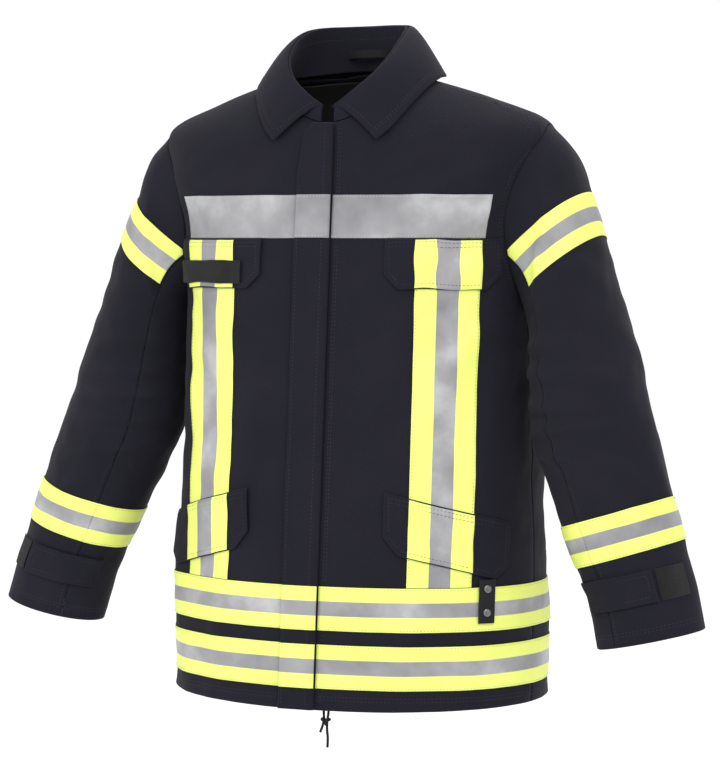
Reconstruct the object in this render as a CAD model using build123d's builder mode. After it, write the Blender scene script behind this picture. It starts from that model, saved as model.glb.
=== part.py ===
"""A firefighter's turnout coat in its worn shape: cloth panels, reflective tapes and hardware.

Millimetres. +X is the wearer's left, -Y the front, +Z up. The origin is the middle of the neck
opening, level with the seam at the back of the neck.
"""

import os
from math import cos, pi, radians, sin, tan

from build123d import *

os.makedirs("parts", exist_ok=True)

# ---- Driving dimensions ------------------------------------------------------------------------
SHELL = 2.0  # outer cloth, laminated
SLEEVE_CLOTH = 3.0  # outer cloth with its quilted lining
LINER, LINER_DEPTH = 2.0, 4.6  # body lining, and how far its outer side is under the coat's surface
TAPE = 0.8  # reflective tape
LIFT = 0.6  # air between a sewn-on piece and what it lies on
SEAM = 0.5  # air at a seam between neighbours
MOVE_GAP = 2.3  # height of a lifting flap's inner side over the coat
FLAP_THICK = 1.8

UPRIGHT = (113.0, 188.0)  # the 75 mm upright tapes, measured round from the centre front
CHEST_TOP, CHEST_BOTTOM = -149.0, -199.0
CHEST_TAPE_END = 196.0
HEM_TAPES = ((-597.0, -647.0), (-663.0, -713.0))
HEM = -738.0
LINER_HEM = -706.0
LINER_FRONT_EASE = 1.0  # the front lining hangs this much further in

ZIP_TOP = (0.0, -103.0, -75.0)  # the centre front is one straight line between these
ZIP_FOOT = (0.0, -165.0, -738.0)
ZIP_EDGE = 6.0  # from the centre front to a front panel's edge
FLAP_SEAM, FLAP_FREE = 10.0, -33.0  # the storm flap's sewn and free edges, across
FLAP_GAP, FLAP_TOP = 4.6, 9.0  # its height over the coat; its top, up from the zip's top

CHEST_FLAP, CHEST_FLAP_DROP = (77.0, 213.0), 58.0
LOW_FLAP, LOW_FLAP_TOPS, LOW_FLAP_DROP = (85.0, 233.0), (-488.0, -524.0), 68.0
CORNER = 17.0  # cut off each lower corner of a pocket flap
MOUTH = 4.0  # a pocket's slit

STRAP_ARC, STRAP_WIDTH = 206.0, 20.0
STRAP_TOP, STRAP_BOTTOM = -588.0, -638.0
SNAP_HEIGHTS = (-598.5, -625.5)
SNAP_RADIUS = 4.8

ARMHOLE = (5.0, -170.0, 67.0, 104.0)  # centre y and z, half depth, half height
ELBOW = 5.5  # ring number of the sleeve's bend
SLEEVE_SEAM = 118.0  # degrees round a sleeve: 0 outside, 90 front, 180 inside
UPPER_TAPE = (-146.0, 40.0)  # height of its top edge at the sleeve's outside, and its slope
LOWER_TAPE = (-490.0, 16.8)
SLEEVE_TAPE_WIDTH = 50.0

CUFF_TAB = (60.0, 150.0)  # degrees round the sleeve
CUFF_LOOP = (18.0, 56.0)
CUFF_TAB_PLACES = (10.29, 9.62)  # ring numbers of its edges
CORD_RADIUS = 1.5

# ---- The body as rings, hem to neck ------------------------------------------------------------


def front_y(z):
    """The centre front's y at height z."""
    share = (z - ZIP_TOP[2]) / (ZIP_FOOT[2] - ZIP_TOP[2])
    return ZIP_TOP[1] + share * (ZIP_FOOT[1] - ZIP_TOP[1])


def ring(half, side_y, back_y, front_z, side_z, back_z, square):
    return (half, front_y(front_z), side_y, back_y, front_z, side_z, back_z, square)


RINGS = [
    ring(230, 0, 158, HEM, -735, HEM, 2.1),
    ring(227, 0, 157, -590, -590, -590, 2.15),
    ring(218, 0, 155, -430, -430, -430, 2.3),
    ring(210, 0, 150, -290, -290, -290, 2.6),
    ring(215, 0, 142, -195, -192, -190, 2.8),
    ring(231, 0, 126, -130, -118, -118, 2.7),
    ring(238, 0, 102, -98, -68, -64, 2.4),
    ring(168, -12, 72, -80, -36, -27, 2.2),
    ring(82, -30, 38, -66, -9, 0, 2.0),
]
NECK = len(RINGS) - 1


def smooth(rows, place):
    """A row between evenly numbered rows, on a smooth curve through them."""
    last = len(rows) - 1
    low = max(0, min(int(place), last - 1))
    f = place - low
    before = rows[low - 1] if low > 0 else tuple(2 * a - b for a, b in zip(rows[0], rows[1]))
    after = rows[low + 2] if low + 2 <= last else tuple(2 * a - b for a, b in zip(rows[last], rows[last - 1]))
    return tuple(
        0.5 * (2 * q + (r - p) * f + (2 * p - 5 * q + 4 * r - s) * f**2 + (3 * q - p - 3 * r + s) * f**3)
        for p, q, r, s in zip(before, rows[low], rows[low + 1], after)
    )


def body(angle, place):
    """A point on the coat's outer surface. Angle 0 is the centre front, 90 the wearer's left."""
    half, front, side_y, back, front_z, side_z, back_z, square = smooth(RINGS, place)
    s, c = sin(radians(angle)), cos(radians(angle))
    depth, end_z = (side_y - front, front_z) if c >= 0 else (back - side_y, back_z)
    reach = (abs(s) ** square + abs(c) ** square) ** (-1 / square)
    return Vector(half * s * reach, side_y - depth * c * reach, side_z + (end_z - side_z) * c * c)


def raised(surface, a, b, height, last):
    """The surface's point at (a, b), moved out along its normal."""
    across = surface(a + 0.5, b) - surface(a - 0.5, b)
    along = surface(a, min(last, b + 0.01)) - surface(a, max(0, b - 0.01))
    return surface(a, b) + across.cross(along).normalized() * height


def place_at(angle, z):
    """The ring number where the body's surface is at height z."""
    low, high = 0.0, 6.5
    for _ in range(22):
        middle = (low + high) / 2
        if body(angle, middle).Z < z:
            low = middle
        else:
            high = middle
    return (low + high) / 2


def angle_at(arc, place):
    """The angle that lies arc millimetres round the coat from the centre front."""
    side = 1 if arc >= 0 else -1
    angle, run, step = 0.0, 0.0, 1.0
    here = body(0, place)
    while True:
        ahead = body(side * (angle + step), place)
        length = (ahead - here).length
        if run + length >= abs(arc):
            return side * (angle + step * (abs(arc) - run) / length)
        run, here, angle = run + length, ahead, angle + step


def on_front(arc, z, height=0.0):
    """A point over the front, arc millimetres round from the centre front, at height z."""
    place = place_at(0, z)
    for _ in range(2):
        place = place_at(angle_at(arc, place), z)
    return raised(body, angle_at(arc, place), place, height, NECK)


def spread(low, high, count):
    return [low + (high - low) * i / (count - 1) for i in range(count)]


def sheet(rows):
    """One smooth face through rows of points."""
    return Face.make_surface_from_array_of_points(rows, tol=0.1)


def grid(surface, across, along, height):
    """Rows of points over any surface whose normal, across then along, points outward."""
    rows = []
    for b in along:
        row = []
        for a in across:
            a0, a1 = max(across[0], a - 0.02), min(across[-1], a + 0.02)
            b0, b1 = (max(min(along), b - 0.02), min(max(along), b + 0.02))
            side = surface(a1, b) - surface(a0, b)
            up = (surface(a, b1) - surface(a, b0)) * (1 if along[-1] > along[0] else -1)
            row.append(surface(a, b) + side.cross(up).normalized() * height)
        rows.append(row)
    return rows


def body_rows(starts, ends, height, low, high, across=15, count=22):
    """Rows of points over the body between two angles, which are functions of the ring number."""
    return [
        [raised(body, starts(v) + (ends(v) - starts(v)) * u, v, height, NECK) for u in spread(0, 1, across)]
        for v in spread(low, high, count)
    ]


def patch_rows(arcs, tops, bottoms, height, across=9, down=7):
    """Rows over the front, bottom row first; tops and bottoms are the heights at the two arcs."""
    rows = []
    for f in spread(0, 1, down):
        row = []
        for g in spread(0, 1, across):
            top = tops[0] + (tops[1] - tops[0]) * g
            bottom = bottoms[0] + (bottoms[1] - bottoms[0]) * g
            row.append(on_front(arcs[0] + (arcs[1] - arcs[0]) * g, bottom + (top - bottom) * f, height))
        rows.append(row)
    return rows


def cloth(rows_at, height, thickness):
    """A closed piece: its outer side lies at a height over the coat, its inner side a thickness lower."""
    outer, inner = sheet(rows_at(height)), sheet(rows_at(height - thickness))
    sides = []
    for edge in outer.edges():
        partner = min(inner.edges(), key=lambda other: (other @ 0 - edge @ 0).length + (other @ 1 - edge @ 1).length)
        sides.append(Face.make_surface_from_curves(edge, partner))
    add(Solid(Shell([outer, inner, *sides])))


def finish(piece, label):
    piece.part.label = label
    export_step(piece.part, f"parts/{label}.step")


def finish_pair(piece, label):
    """The piece is the wearer's left one; the right one is its mirror image."""
    with BuildPart() as other:
        mirror(piece.part, about=Plane.YZ)
    finish(piece, f"{label}_left")
    finish(other, f"{label}_right")


def cut_box(low, high):
    """Cuts away everything between two opposite corners."""
    middle = [(a + b) / 2 for a, b in zip(low, high)]
    with Locations(tuple(middle)):
        Box(*[b - a for a, b in zip(low, high)], mode=Mode.SUBTRACT)


def cut_armhole(side, grow):
    y, z, depth, height = ARMHOLE
    with BuildSketch(Plane.YZ.offset(100 * side)) as hole:
        with Locations((y, z)):
            Ellipse(depth + grow, height + grow)
    extrude(hole.sketch, amount=200 * side, mode=Mode.SUBTRACT)


def cut_wall(corners, plane, depth):
    """Cuts away a prism drawn on a plane."""
    with BuildSketch(plane) as outline:
        Polygon(*corners, align=None)
    extrude(outline.sketch, amount=depth, both=True, mode=Mode.SUBTRACT)


# ---- Body panels -------------------------------------------------------------------------------
YOKE_FRONT, YOKE_BACK = -36.0, 40.0  # the shoulder piece's two seams, as y
SIDE_FOOT_Y, SIDE_TOP_Y = -34.0, 5.0  # the side seam, at the hem and at the armhole
ARMPIT = ARMHOLE[1] - ARMHOLE[3]
half_seam = SEAM / 2


def side_wall(shift, reach):
    """The side seam's slanting line on the YZ plane, and everything beyond it."""
    return [
        (SIDE_FOOT_Y + shift, HEM - 20),
        (SIDE_TOP_Y + shift, ARMPIT),
        (SIDE_TOP_Y + shift, -60),
        (reach, -60),
        (reach, HEM - 20),
    ]


def cut_mouths(gap):
    """The two slits a hand goes in by, under the pocket flaps."""
    for arcs, top, slope in ((CHEST_FLAP, CHEST_BOTTOM, 0.0), (LOW_FLAP, *LOW_FLAP_TOPS)):
        end = top if slope == 0.0 else slope
        ends = []
        for arc, share in ((arcs[0] + 14, 0.1), (arcs[1] - 14, 0.9)):
            z = top + (end - top) * share - 14
            ends.append((on_front(arc, z), z))
        (a, za), (b, zb) = ends
        corners = [(a.X, za), (b.X, zb), (b.X, zb - gap), (a.X, za - gap)]
        with BuildSketch(Plane.XZ) as outline:
            Polygon(*corners, align=None)
        extrude(outline.sketch, amount=300, mode=Mode.SUBTRACT)


def front_cloth(start_arc, height, thickness, shift, grow, top):
    """One front of the body, from its straight edge to the side seam and the armhole."""
    cloth(
        lambda h: body_rows(lambda v: angle_at(start_arc, v), lambda v: 104.0, h, 0, top, 25), height, thickness
    )
    cut_wall(side_wall(-half_seam - shift, 300), Plane.YZ, 400)
    cut_armhole(1, grow)


def back_cloth(height, thickness, shift, grow, top):
    """The back of the body, between the side seams."""
    cloth(lambda h: body_rows(lambda v: 76.0, lambda v: 284.0, h, 0, top, 51), height, thickness)
    cut_wall(side_wall(half_seam + shift, -300), Plane.YZ, 400)
    for side in (1, -1):
        cut_armhole(side, grow)


with BuildPart() as front_panel:
    front_cloth(ZIP_EDGE, 0, SHELL, 0, 0, NECK)
    cut_box((60, YOKE_FRONT - half_seam, -150), (300, 200, 50))
    cut_mouths(MOUTH)
finish_pair(front_panel, "front_panel")

with BuildPart() as back_panel:
    back_cloth(0, SHELL, 0, 0, NECK)
    cut_box((-300, -200, -150), (300, YOKE_BACK + half_seam, 60))
finish(back_panel, "back_panel")

with BuildPart() as yoke:
    cloth(lambda h: body_rows(lambda v: 25.0, lambda v: 158.0, h, 5, NECK, 27, 10), 0, SHELL)
    cut_armhole(1, 0)
    cut_box((0, -300, -300), (400, YOKE_FRONT + half_seam, 100))
    cut_box((0, YOKE_BACK - half_seam, -300), (400, 300, 100))
    cut_box((150, -300, -300), (400, 300, ARMHOLE[1]))
finish_pair(yoke, "shoulder_yoke")

# the lining: two fronts and two backs, meeting at the side, on top of the shoulder and behind
with BuildPart() as liner_front:
    front_cloth(24.0, -LINER_DEPTH - LINER_FRONT_EASE, LINER, 0, 12, 7.75)
    cut_box((60, -half_seam, -150), (300, 200, 50))
    cut_box((-10, -300, HEM - 20), (300, 300, LINER_HEM))
with BuildPart() as liner_back:
    cloth(lambda h: body_rows(lambda v: 76.0, lambda v: 179.7, h, 0, 7.75, 27), -LINER_DEPTH, LINER)
    cut_wall(side_wall(half_seam, -300), Plane.YZ, 400)
    cut_armhole(1, 12)
    cut_box((-10, -200, -150), (300, half_seam, 60))
    cut_box((-10, -300, HEM - 20), (300, 300, LINER_HEM))
# the four never touch, so they go into one compound as they are
lining = []
for half in (liner_front, liner_back):
    lining += [*half.part.solids(), *half.part.mirror(Plane.YZ).solids()]
body_liner = Compound(lining, label="body_liner")
export_step(body_liner, "parts/body_liner.step")

# ---- Collar ------------------------------------------------------------------------------------
COLLAR_CLOTH = 2.6
COLLAR_STITCH = 0.4
# angle round the neck, the fold's x, y, z, then the free edge's x, y, z
COLLAR = [
    (0.0, 3.0, -99.0, -47.0, 64.0, -110.0, -86.0),
    (0.0, 26.0, -98.0, -31.0, 80.0, -101.0, -71.0),
    (0.0, 48.0, -89.0, -12.0, 95.0, -85.0, -49.0),
    (0.0, 62.0, -70.0, 10.0, 108.0, -60.0, -26.0),
    (0.0, 66.0, -44.0, 30.0, 114.0, -28.0, -12.0),
    (0.0, 64.0, -14.0, 45.0, 108.0, 6.0, -9.0),
    (0.0, 55.0, 14.0, 52.0, 88.0, 36.0, -8.0),
    (0.0, 32.0, 32.0, 54.0, 48.0, 55.0, -7.0),
    (0.0, 0.0, 38.0, 54.0, 0.0, 61.0, -7.0),
]


def collar_ring(place):
    """The fold and the free edge; place 0 is the wearer's left tip, 16 the right one."""
    side = 1 if place <= 8 else -1
    near = place if place <= 8 else 16 - place
    rows = COLLAR + [tuple(v if i not in (1, 4) else -v for i, v in enumerate(COLLAR[7]))]
    _, fx, fy, fz, ex, ey, ez = smooth(rows, near)
    return Vector(side * fx, fy, fz), Vector(side * ex, ey, ez)


def collar_fall(place, share):
    """From the fold, out over the top and down to the free edge."""
    fold, edge = collar_ring(place)
    outward = Vector(edge.X - fold.X, edge.Y - fold.Y, 0).normalized()
    start = fold + outward * 0.5
    bend = fold + outward * 13 + Vector(0, 0, 7)
    f = share
    return start * (1 - f) ** 2 + bend * (2 * f * (1 - f)) + edge * f**2


def collar_stand(place, share):
    """From the neck seam up to the fold."""
    fold, _ = collar_ring(place)
    near = place if place <= 8 else 16 - place
    angle = 180 * near / 8 if place <= 8 else -180 * near / 8
    seam = body(1.5 + angle * 0.9917 if angle >= 0 else angle * 0.9917 - 1.5, NECK) + Vector(0, 0, COLLAR_STITCH)
    seam = seam * 0.992
    return seam + (fold - seam) * share


with BuildPart() as collar_fall_piece:
    cloth(lambda h: grid(collar_fall, spread(0, 16, 49), spread(1, 0, 9), h), 0, COLLAR_CLOTH)
finish(collar_fall_piece, "collar_fall")

with BuildPart() as collar_stand_piece:
    cloth(lambda h: grid(collar_stand, spread(0.15, 15.85, 49), spread(0, 1, 6), h), 0, COLLAR_CLOTH)
finish(collar_stand_piece, "collar_stand")

LOOP_HALF, LOOP_DROP, LOOP_TAPE, LOOP_WIDTH = 26.0, 12.0, 1.6, 9.0
with BuildPart() as hanger_loop:
    with BuildSketch(Plane.XY.offset(16)):
        with BuildLine():
            ThreePointArc((-LOOP_HALF, 30), (0, 30 - LOOP_DROP), (LOOP_HALF, 30))
            Line((LOOP_HALF, 30), (LOOP_HALF - 3, 31.2))
            ThreePointArc((LOOP_HALF - 3, 31.2), (0, 30 - LOOP_DROP + LOOP_TAPE), (3 - LOOP_HALF, 31.2))
            Line((3 - LOOP_HALF, 31.2), (-LOOP_HALF, 30))
        make_face()
    extrude(amount=LOOP_WIDTH)
finish(hanger_loop, "hanger_loop")

# ---- Sleeves -----------------------------------------------------------------------------------
# the outermost point's x and z, the innermost point's x and z, the middle's y, half depth
SLEEVE_RINGS = [
    (238, -66, 208, -274, 5, 67),
    (264, -96, 213, -290, 4, 71),
    (284, -148, 218, -310, 0, 74),
    (306, -206, 220, -332, -6, 74),
    (327, -271, 222, -362, -12, 72),
    (349, -340, 225, -402, -20, 69),
    (365, -392, 231, -440, -27, 66),
    (380, -438, 245, -472, -33, 64),
    (394, -485, 263, -514, -39, 61),
    (409, -532, 283, -560, -46, 57),
    (424, -579, 302, -608, -53, 53),
    (440, -636, 317, -664, -60, 50),
]
CUFF = len(SLEEVE_RINGS) - 1


def body_x(y, z):
    """How far out the body's surface is at the side, at depth y and height z."""
    low, high = 15.0, 165.0
    for _ in range(22):
        middle = (low + high) / 2
        place = place_at(middle, z) if z < -75 else crown_place(middle, z)
        if body(middle, place).Y < y:
            low = middle
        else:
            high = middle
    angle = (low + high) / 2
    return body(angle, place_at(angle, z) if z < -75 else crown_place(angle, z)).X


def crown_place(angle, z):
    """The ring number at height z, up to the neck."""
    low, high = 0.0, float(NECK)
    for _ in range(22):
        middle = (low + high) / 2
        if body(angle, middle).Z < z:
            low = middle
        else:
            high = middle
    return (low + high) / 2


armhole_gap = 0.7
ARMHOLE_X = []
for step in range(49):
    turn = radians(step * 7.5)
    y = ARMHOLE[0] - (ARMHOLE[2] - armhole_gap) * sin(turn)
    z = ARMHOLE[1] + (ARMHOLE[3] - armhole_gap) * cos(turn)
    ARMHOLE_X.append((body_x(y, z) + 0.4, y, z))


def sleeve(angle, place):
    """A point on the left sleeve's outer surface. Angle 0 is outside, 90 the front, 180 inside."""
    ox, oz, ix, iz, y, depth = smooth(SLEEVE_RINGS, place)
    s, c = sin(radians(angle)), cos(radians(angle))
    point = Vector((ox + ix) / 2 + (ox - ix) / 2 * c, y - depth * s, (oz + iz) / 2 + (oz - iz) / 2 * c)
    if place < 2:
        ox, oz, ix, iz, y, depth = SLEEVE_RINGS[0]
        first = Vector((ox + ix) / 2 + (ox - ix) / 2 * c, y - depth * s, (oz + iz) / 2 + (oz - iz) / 2 * c)
        turn = (angle % 360) / 7.5
        x, hole_y, hole_z = smooth(ARMHOLE_X, turn)
        point = point + (Vector(x, hole_y, hole_z) - first) * (1 - place / 2) ** 2
    return point


def sleeve_rows(angles, places, height, across=37, count=20):
    return [
        [raised(sleeve, a, p, height, CUFF) for a in spread(*angles, across)]
        for p in spread(*places, count)
    ]


around = (SLEEVE_SEAM + 0.3, SLEEVE_SEAM + 359.7)
with BuildPart() as sleeve_upper:
    cloth(lambda h: sleeve_rows(around, (0, ELBOW - 0.005), h, 41, 24), 0, SLEEVE_CLOTH)
finish_pair(sleeve_upper, "sleeve_upper")

with BuildPart() as sleeve_lower:
    cloth(lambda h: sleeve_rows(around, (ELBOW + 0.008, CUFF), h, 37, 20), 0, SLEEVE_CLOTH)
finish_pair(sleeve_lower, "sleeve_lower")


def cut_to_slab(top, slope, width):
    """Keeps only what lies between two sloping planes, seen from the front."""
    x = 440.0
    lift = tan(radians(slope))
    deep = width / cos(radians(slope))
    above = [(x, top), (x - 400, top - 400 * lift), (x - 400, 100), (x, 100)]
    below = [(x, top - deep), (x - 400, top - deep - 400 * lift), (x - 400, -900), (x, -900)]
    for corners in (above, below):
        with BuildSketch(Plane.XZ) as outline:
            Polygon(*corners, align=None)
        extrude(outline.sketch, amount=300, both=True, mode=Mode.SUBTRACT)


def slab_top(outer_x, outer_z, slope):
    """The slab's height at x = 440 for a tape whose top edge passes the sleeve's outside."""
    return outer_z + (440 - outer_x) * tan(radians(slope))


with BuildPart() as sleeve_tape_upper:
    cloth(lambda h: sleeve_rows((-118, 118), (0.12, ELBOW - 0.3), h, 33, 20), LIFT + TAPE, TAPE)
    cut_to_slab(slab_top(284, UPPER_TAPE[0], UPPER_TAPE[1]), UPPER_TAPE[1], SLEEVE_TAPE_WIDTH)
finish_pair(sleeve_tape_upper, "sleeve_tape_upper")

with BuildPart() as sleeve_tape_lower:
    cloth(lambda h: sleeve_rows(around, (6.4, CUFF - 0.4), h, 37, 16), LIFT + TAPE, TAPE)
    cut_to_slab(slab_top(395, LOWER_TAPE[0], LOWER_TAPE[1]), LOWER_TAPE[1], SLEEVE_TAPE_WIDTH)
finish_pair(sleeve_tape_lower, "sleeve_tape_lower")

with BuildPart() as cuff_loop:
    cloth(lambda h: sleeve_rows(CUFF_LOOP, CUFF_TAB_PLACES[::-1], h, 9, 4), LIFT + 1.0, 1.0)
finish_pair(cuff_loop, "cuff_loop")

with BuildPart() as cuff_tab:
    cloth(lambda h: sleeve_rows(CUFF_TAB, CUFF_TAB_PLACES[::-1], h, 15, 4), MOVE_GAP + FLAP_THICK, FLAP_THICK)
finish_pair(cuff_tab, "cuff_tab")

with BuildPart() as wristlet:
    knit = (SLEEVE_SEAM + 1, SLEEVE_SEAM + 359)
    cloth(lambda h: sleeve_rows(knit, (9.2, 10.7), h, 33, 8), -SLEEVE_CLOTH - 4, 2.5)
finish_pair(wristlet, "wristlet")

# ---- Tapes on the body -------------------------------------------------------------------------
with BuildPart() as chest_tape:
    ends = (FLAP_SEAM + 2, CHEST_TAPE_END)
    cloth(lambda h: patch_rows(ends, (CHEST_TOP,) * 2, (CHEST_BOTTOM,) * 2, h, 19, 5), LIFT + TAPE, TAPE)
finish(chest_tape, "chest_tape_left")

with BuildPart() as chest_tape_other:
    ends = (-CHEST_TAPE_END, FLAP_FREE + 2)
    cloth(lambda h: patch_rows(ends, (CHEST_TOP,) * 2, (CHEST_BOTTOM,) * 2, h, 19, 5), LIFT + TAPE, TAPE)
finish(chest_tape_other, "chest_tape_right")


def level_rows(start, end, low, high, height, across):
    """Rows of a tape that runs level round the coat, between two angles."""
    return [
        [raised(body, a, place_at(a, z), height, NECK) for a in spread(start, end, across)]
        for z in spread(low, high, 4)
    ]


for name, (top, bottom) in zip(("upper", "lower"), HEM_TAPES):
    middle = place_at(0, bottom)
    start, end = angle_at(FLAP_SEAM + 2, middle), 360 + angle_at(FLAP_FREE + 2, middle)
    with BuildPart() as hem_tape:
        cloth(lambda h: level_rows(start, end, bottom, top, h, 61), LIFT + TAPE, TAPE)
    finish(hem_tape, f"hem_tape_{name}")

with BuildPart() as upright_tape:
    tops, feet = (CHEST_BOTTOM - SEAM,) * 2, (HEM_TAPES[0][0] + SEAM,) * 2
    cloth(lambda h: patch_rows(UPRIGHT, tops, feet, h, 9, 19), LIFT + TAPE, TAPE)
finish_pair(upright_tape, "upright_tape")

with BuildPart() as back_tape:
    cloth(lambda h: level_rows(136, 224, CHEST_BOTTOM, CHEST_TOP, h, 25), LIFT + TAPE, TAPE)
finish(back_tape, "back_tape")


# ---- Pocket flaps ------------------------------------------------------------------------------
def flap_z(arcs, tops, arc, down):
    share = (arc - arcs[0]) / (arcs[1] - arcs[0])
    return tops[0] + (tops[1] - tops[0]) * share - down


def cut_corners(arcs, tops, drop, size):
    """Takes the two lower corners off a flap."""
    for edge, inward in ((arcs[0], 1), (arcs[1], -1)):
        low = flap_z(arcs, tops, edge, drop)
        up = on_front(edge, flap_z(arcs, tops, edge, drop - size))
        along = on_front(edge + inward * size, flap_z(arcs, tops, edge + inward * size, drop))
        out = on_front(edge - inward * 6, low - 4)
        corners = [
            (up.X, up.Z),
            (along.X, along.Z),
            (along.X, low - 30),
            (out.X - inward * 12, low - 30),
            (out.X - inward * 12, up.Z),
        ]
        with BuildSketch(Plane.XZ) as outline:
            Polygon(*corners, align=None)
        extrude(outline.sketch, amount=300, mode=Mode.SUBTRACT)


def pocket(label, arcs, tops, drop):
    with BuildPart() as flap:
        bottoms = (tops[0] - drop, tops[1] - drop)
        cloth(lambda h: patch_rows(arcs, tops, bottoms, h, 13, 6), MOVE_GAP + FLAP_THICK, FLAP_THICK)
        cut_corners(arcs, tops, drop, CORNER)
    finish_pair(flap, f"{label}_flap")

    with BuildPart() as tape:
        ends = (flap_z(arcs, tops, UPRIGHT[0], 1.5), flap_z(arcs, tops, UPRIGHT[1], 1.5))
        feet = (flap_z(arcs, tops, UPRIGHT[0], drop - 1.0), flap_z(arcs, tops, UPRIGHT[1], drop - 1.0))
        height = MOVE_GAP + FLAP_THICK + LIFT + TAPE
        cloth(lambda h: patch_rows(UPRIGHT, ends, feet, h, 9, 5), height, TAPE)
        cut_corners(arcs, tops, drop, CORNER + 2)
    finish_pair(tape, f"{label}_flap_tape")

    with BuildPart() as bag:
        inner = (arcs[0] + 6, arcs[1] - 6)
        mouth = (flap_z(arcs, tops, inner[0], 8), flap_z(arcs, tops, inner[1], 8))
        foot = (mouth[0] - drop * 1.7, mouth[0] - drop * 1.7)
        cloth(lambda h: patch_rows(inner, mouth, foot, h, 11, 7), -SHELL - 0.7, 1.0)
    finish_pair(bag, f"{label}_pocket_bag")


pocket("chest", CHEST_FLAP, (CHEST_BOTTOM - SEAM, CHEST_BOTTOM - SEAM), CHEST_FLAP_DROP)
pocket("lower", LOW_FLAP, LOW_FLAP_TOPS, LOW_FLAP_DROP)

# the hook-and-loop name strip lies across the wearer's right chest flap, over its tape
NAME_ARCS = (-101.0, -211.0)
NAME_TOP, NAME_FOOT = -225.0, -252.0
NAME_THICK = 1.5
name_height = MOVE_GAP + FLAP_THICK + LIFT + TAPE + LIFT + NAME_THICK
with BuildPart() as name_strip:
    cloth(lambda h: patch_rows(NAME_ARCS, (NAME_TOP,) * 2, (NAME_FOOT,) * 2, h, 9, 4), name_height, NAME_THICK)
finish(name_strip, "name_strip")

# ---- Storm flap, on one flat plane over the zip -------------------------------------------------
fall = Vector(*ZIP_FOOT) - Vector(*ZIP_TOP)
FRONT_LENGTH = fall.length
down = fall.normalized()
outward = down.cross(Vector(1, 0, 0)).normalized()
if outward.Y > 0:
    outward = outward * -1


def front_plane(height):
    """The plane over the straight centre front; local x is across, local y is up the coat."""
    return Plane(origin=Vector(*ZIP_TOP) + outward * height, x_dir=(1, 0, 0), z_dir=outward)


FLAP_CLOTH = 2.4
FLAP_FOLD = 0.05  # between the flap and the seam fold under its sewn edge
with BuildPart() as storm_flap:
    with BuildSketch(front_plane(FLAP_GAP)):
        with BuildLine():
            Polyline(
                (FLAP_SEAM, FLAP_TOP),
                (FLAP_SEAM - 25, FLAP_TOP),
                (FLAP_FREE + 8, FLAP_TOP - 10),
                (FLAP_FREE, FLAP_TOP - 60),
                (FLAP_FREE, -FRONT_LENGTH),
                (FLAP_SEAM, -FRONT_LENGTH),
                close=True,
            )
        make_face()
    extrude(amount=FLAP_CLOTH)
    with BuildSketch(front_plane(LIFT + 0.2)):
        with Locations((FLAP_SEAM - 1.2, (FLAP_TOP - FRONT_LENGTH) / 2)):
            Rectangle(2.4, FRONT_LENGTH + FLAP_TOP)
    extrude(amount=FLAP_GAP - LIFT - 0.2 - FLAP_FOLD)
finish(storm_flap, "storm_flap")

flap_face = FLAP_GAP + FLAP_CLOTH + LIFT
flap_middle = (FLAP_SEAM + FLAP_FREE) / 2
with BuildPart() as storm_flap_tape:
    for top, bottom in ((CHEST_TOP, CHEST_BOTTOM), *HEM_TAPES):
        share = [(ZIP_TOP[2] - z) / -down.Z for z in (top, bottom)]
        with BuildSketch(front_plane(flap_face)):
            with Locations((flap_middle, -(share[0] + share[1]) / 2)):
                Rectangle(FLAP_SEAM - FLAP_FREE - 1.0, abs(share[1] - share[0]))
        extrude(amount=TAPE)
finish(storm_flap_tape, "storm_flap_tape")

STRIP_ACROSS, STRIP_THICK = 18.0, 0.9
for label, height in (("storm_flap_hook", FLAP_GAP - LIFT - STRIP_THICK), ("storm_flap_loop", 0.2)):
    with BuildPart() as strip:
        with BuildSketch(front_plane(height)):
            with Locations((-19, -FRONT_LENGTH / 2)):
                Rectangle(STRIP_ACROSS, FRONT_LENGTH - 40)
        extrude(amount=STRIP_THICK)
    finish(strip, label)

# ---- Zip ---------------------------------------------------------------------------------------
CHAIN_HALF, CHAIN_THICK, TOOTH_PITCH, TOOTH = 3.0, 2.6, 5.0, 2.7
zip_run = FRONT_LENGTH - 14
for side, name in ((1, "left"), (-1, "right")):
    with BuildPart() as zip_tape:
        with BuildSketch(front_plane(-SHELL - 1.5)):
            with Locations((side * (CHAIN_HALF + 7.5), -FRONT_LENGTH / 2)):
                Rectangle(14, FRONT_LENGTH - 4)
        extrude(amount=1.0)
    finish(zip_tape, f"zip_tape_{name}")

with BuildPart() as zip_chain:
    with BuildSketch(front_plane(-SHELL - 1.5)):
        with Locations((0, -4 - zip_run / 2)):
            Rectangle(1.6, zip_run)
    extrude(amount=1.4)
    with BuildSketch(front_plane(-SHELL - 1.5)):
        count = int(zip_run / TOOTH_PITCH) - 1
        for side in (1, -1):
            shift = 0 if side > 0 else TOOTH_PITCH / 2
            with Locations((side * CHAIN_HALF / 2, -4 - zip_run / 2 + shift)):
                with GridLocations(1, TOOTH_PITCH, 1, count):
                    Rectangle(CHAIN_HALF, TOOTH)
    extrude(amount=CHAIN_THICK)
finish(zip_chain, "zip_chain")

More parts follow.
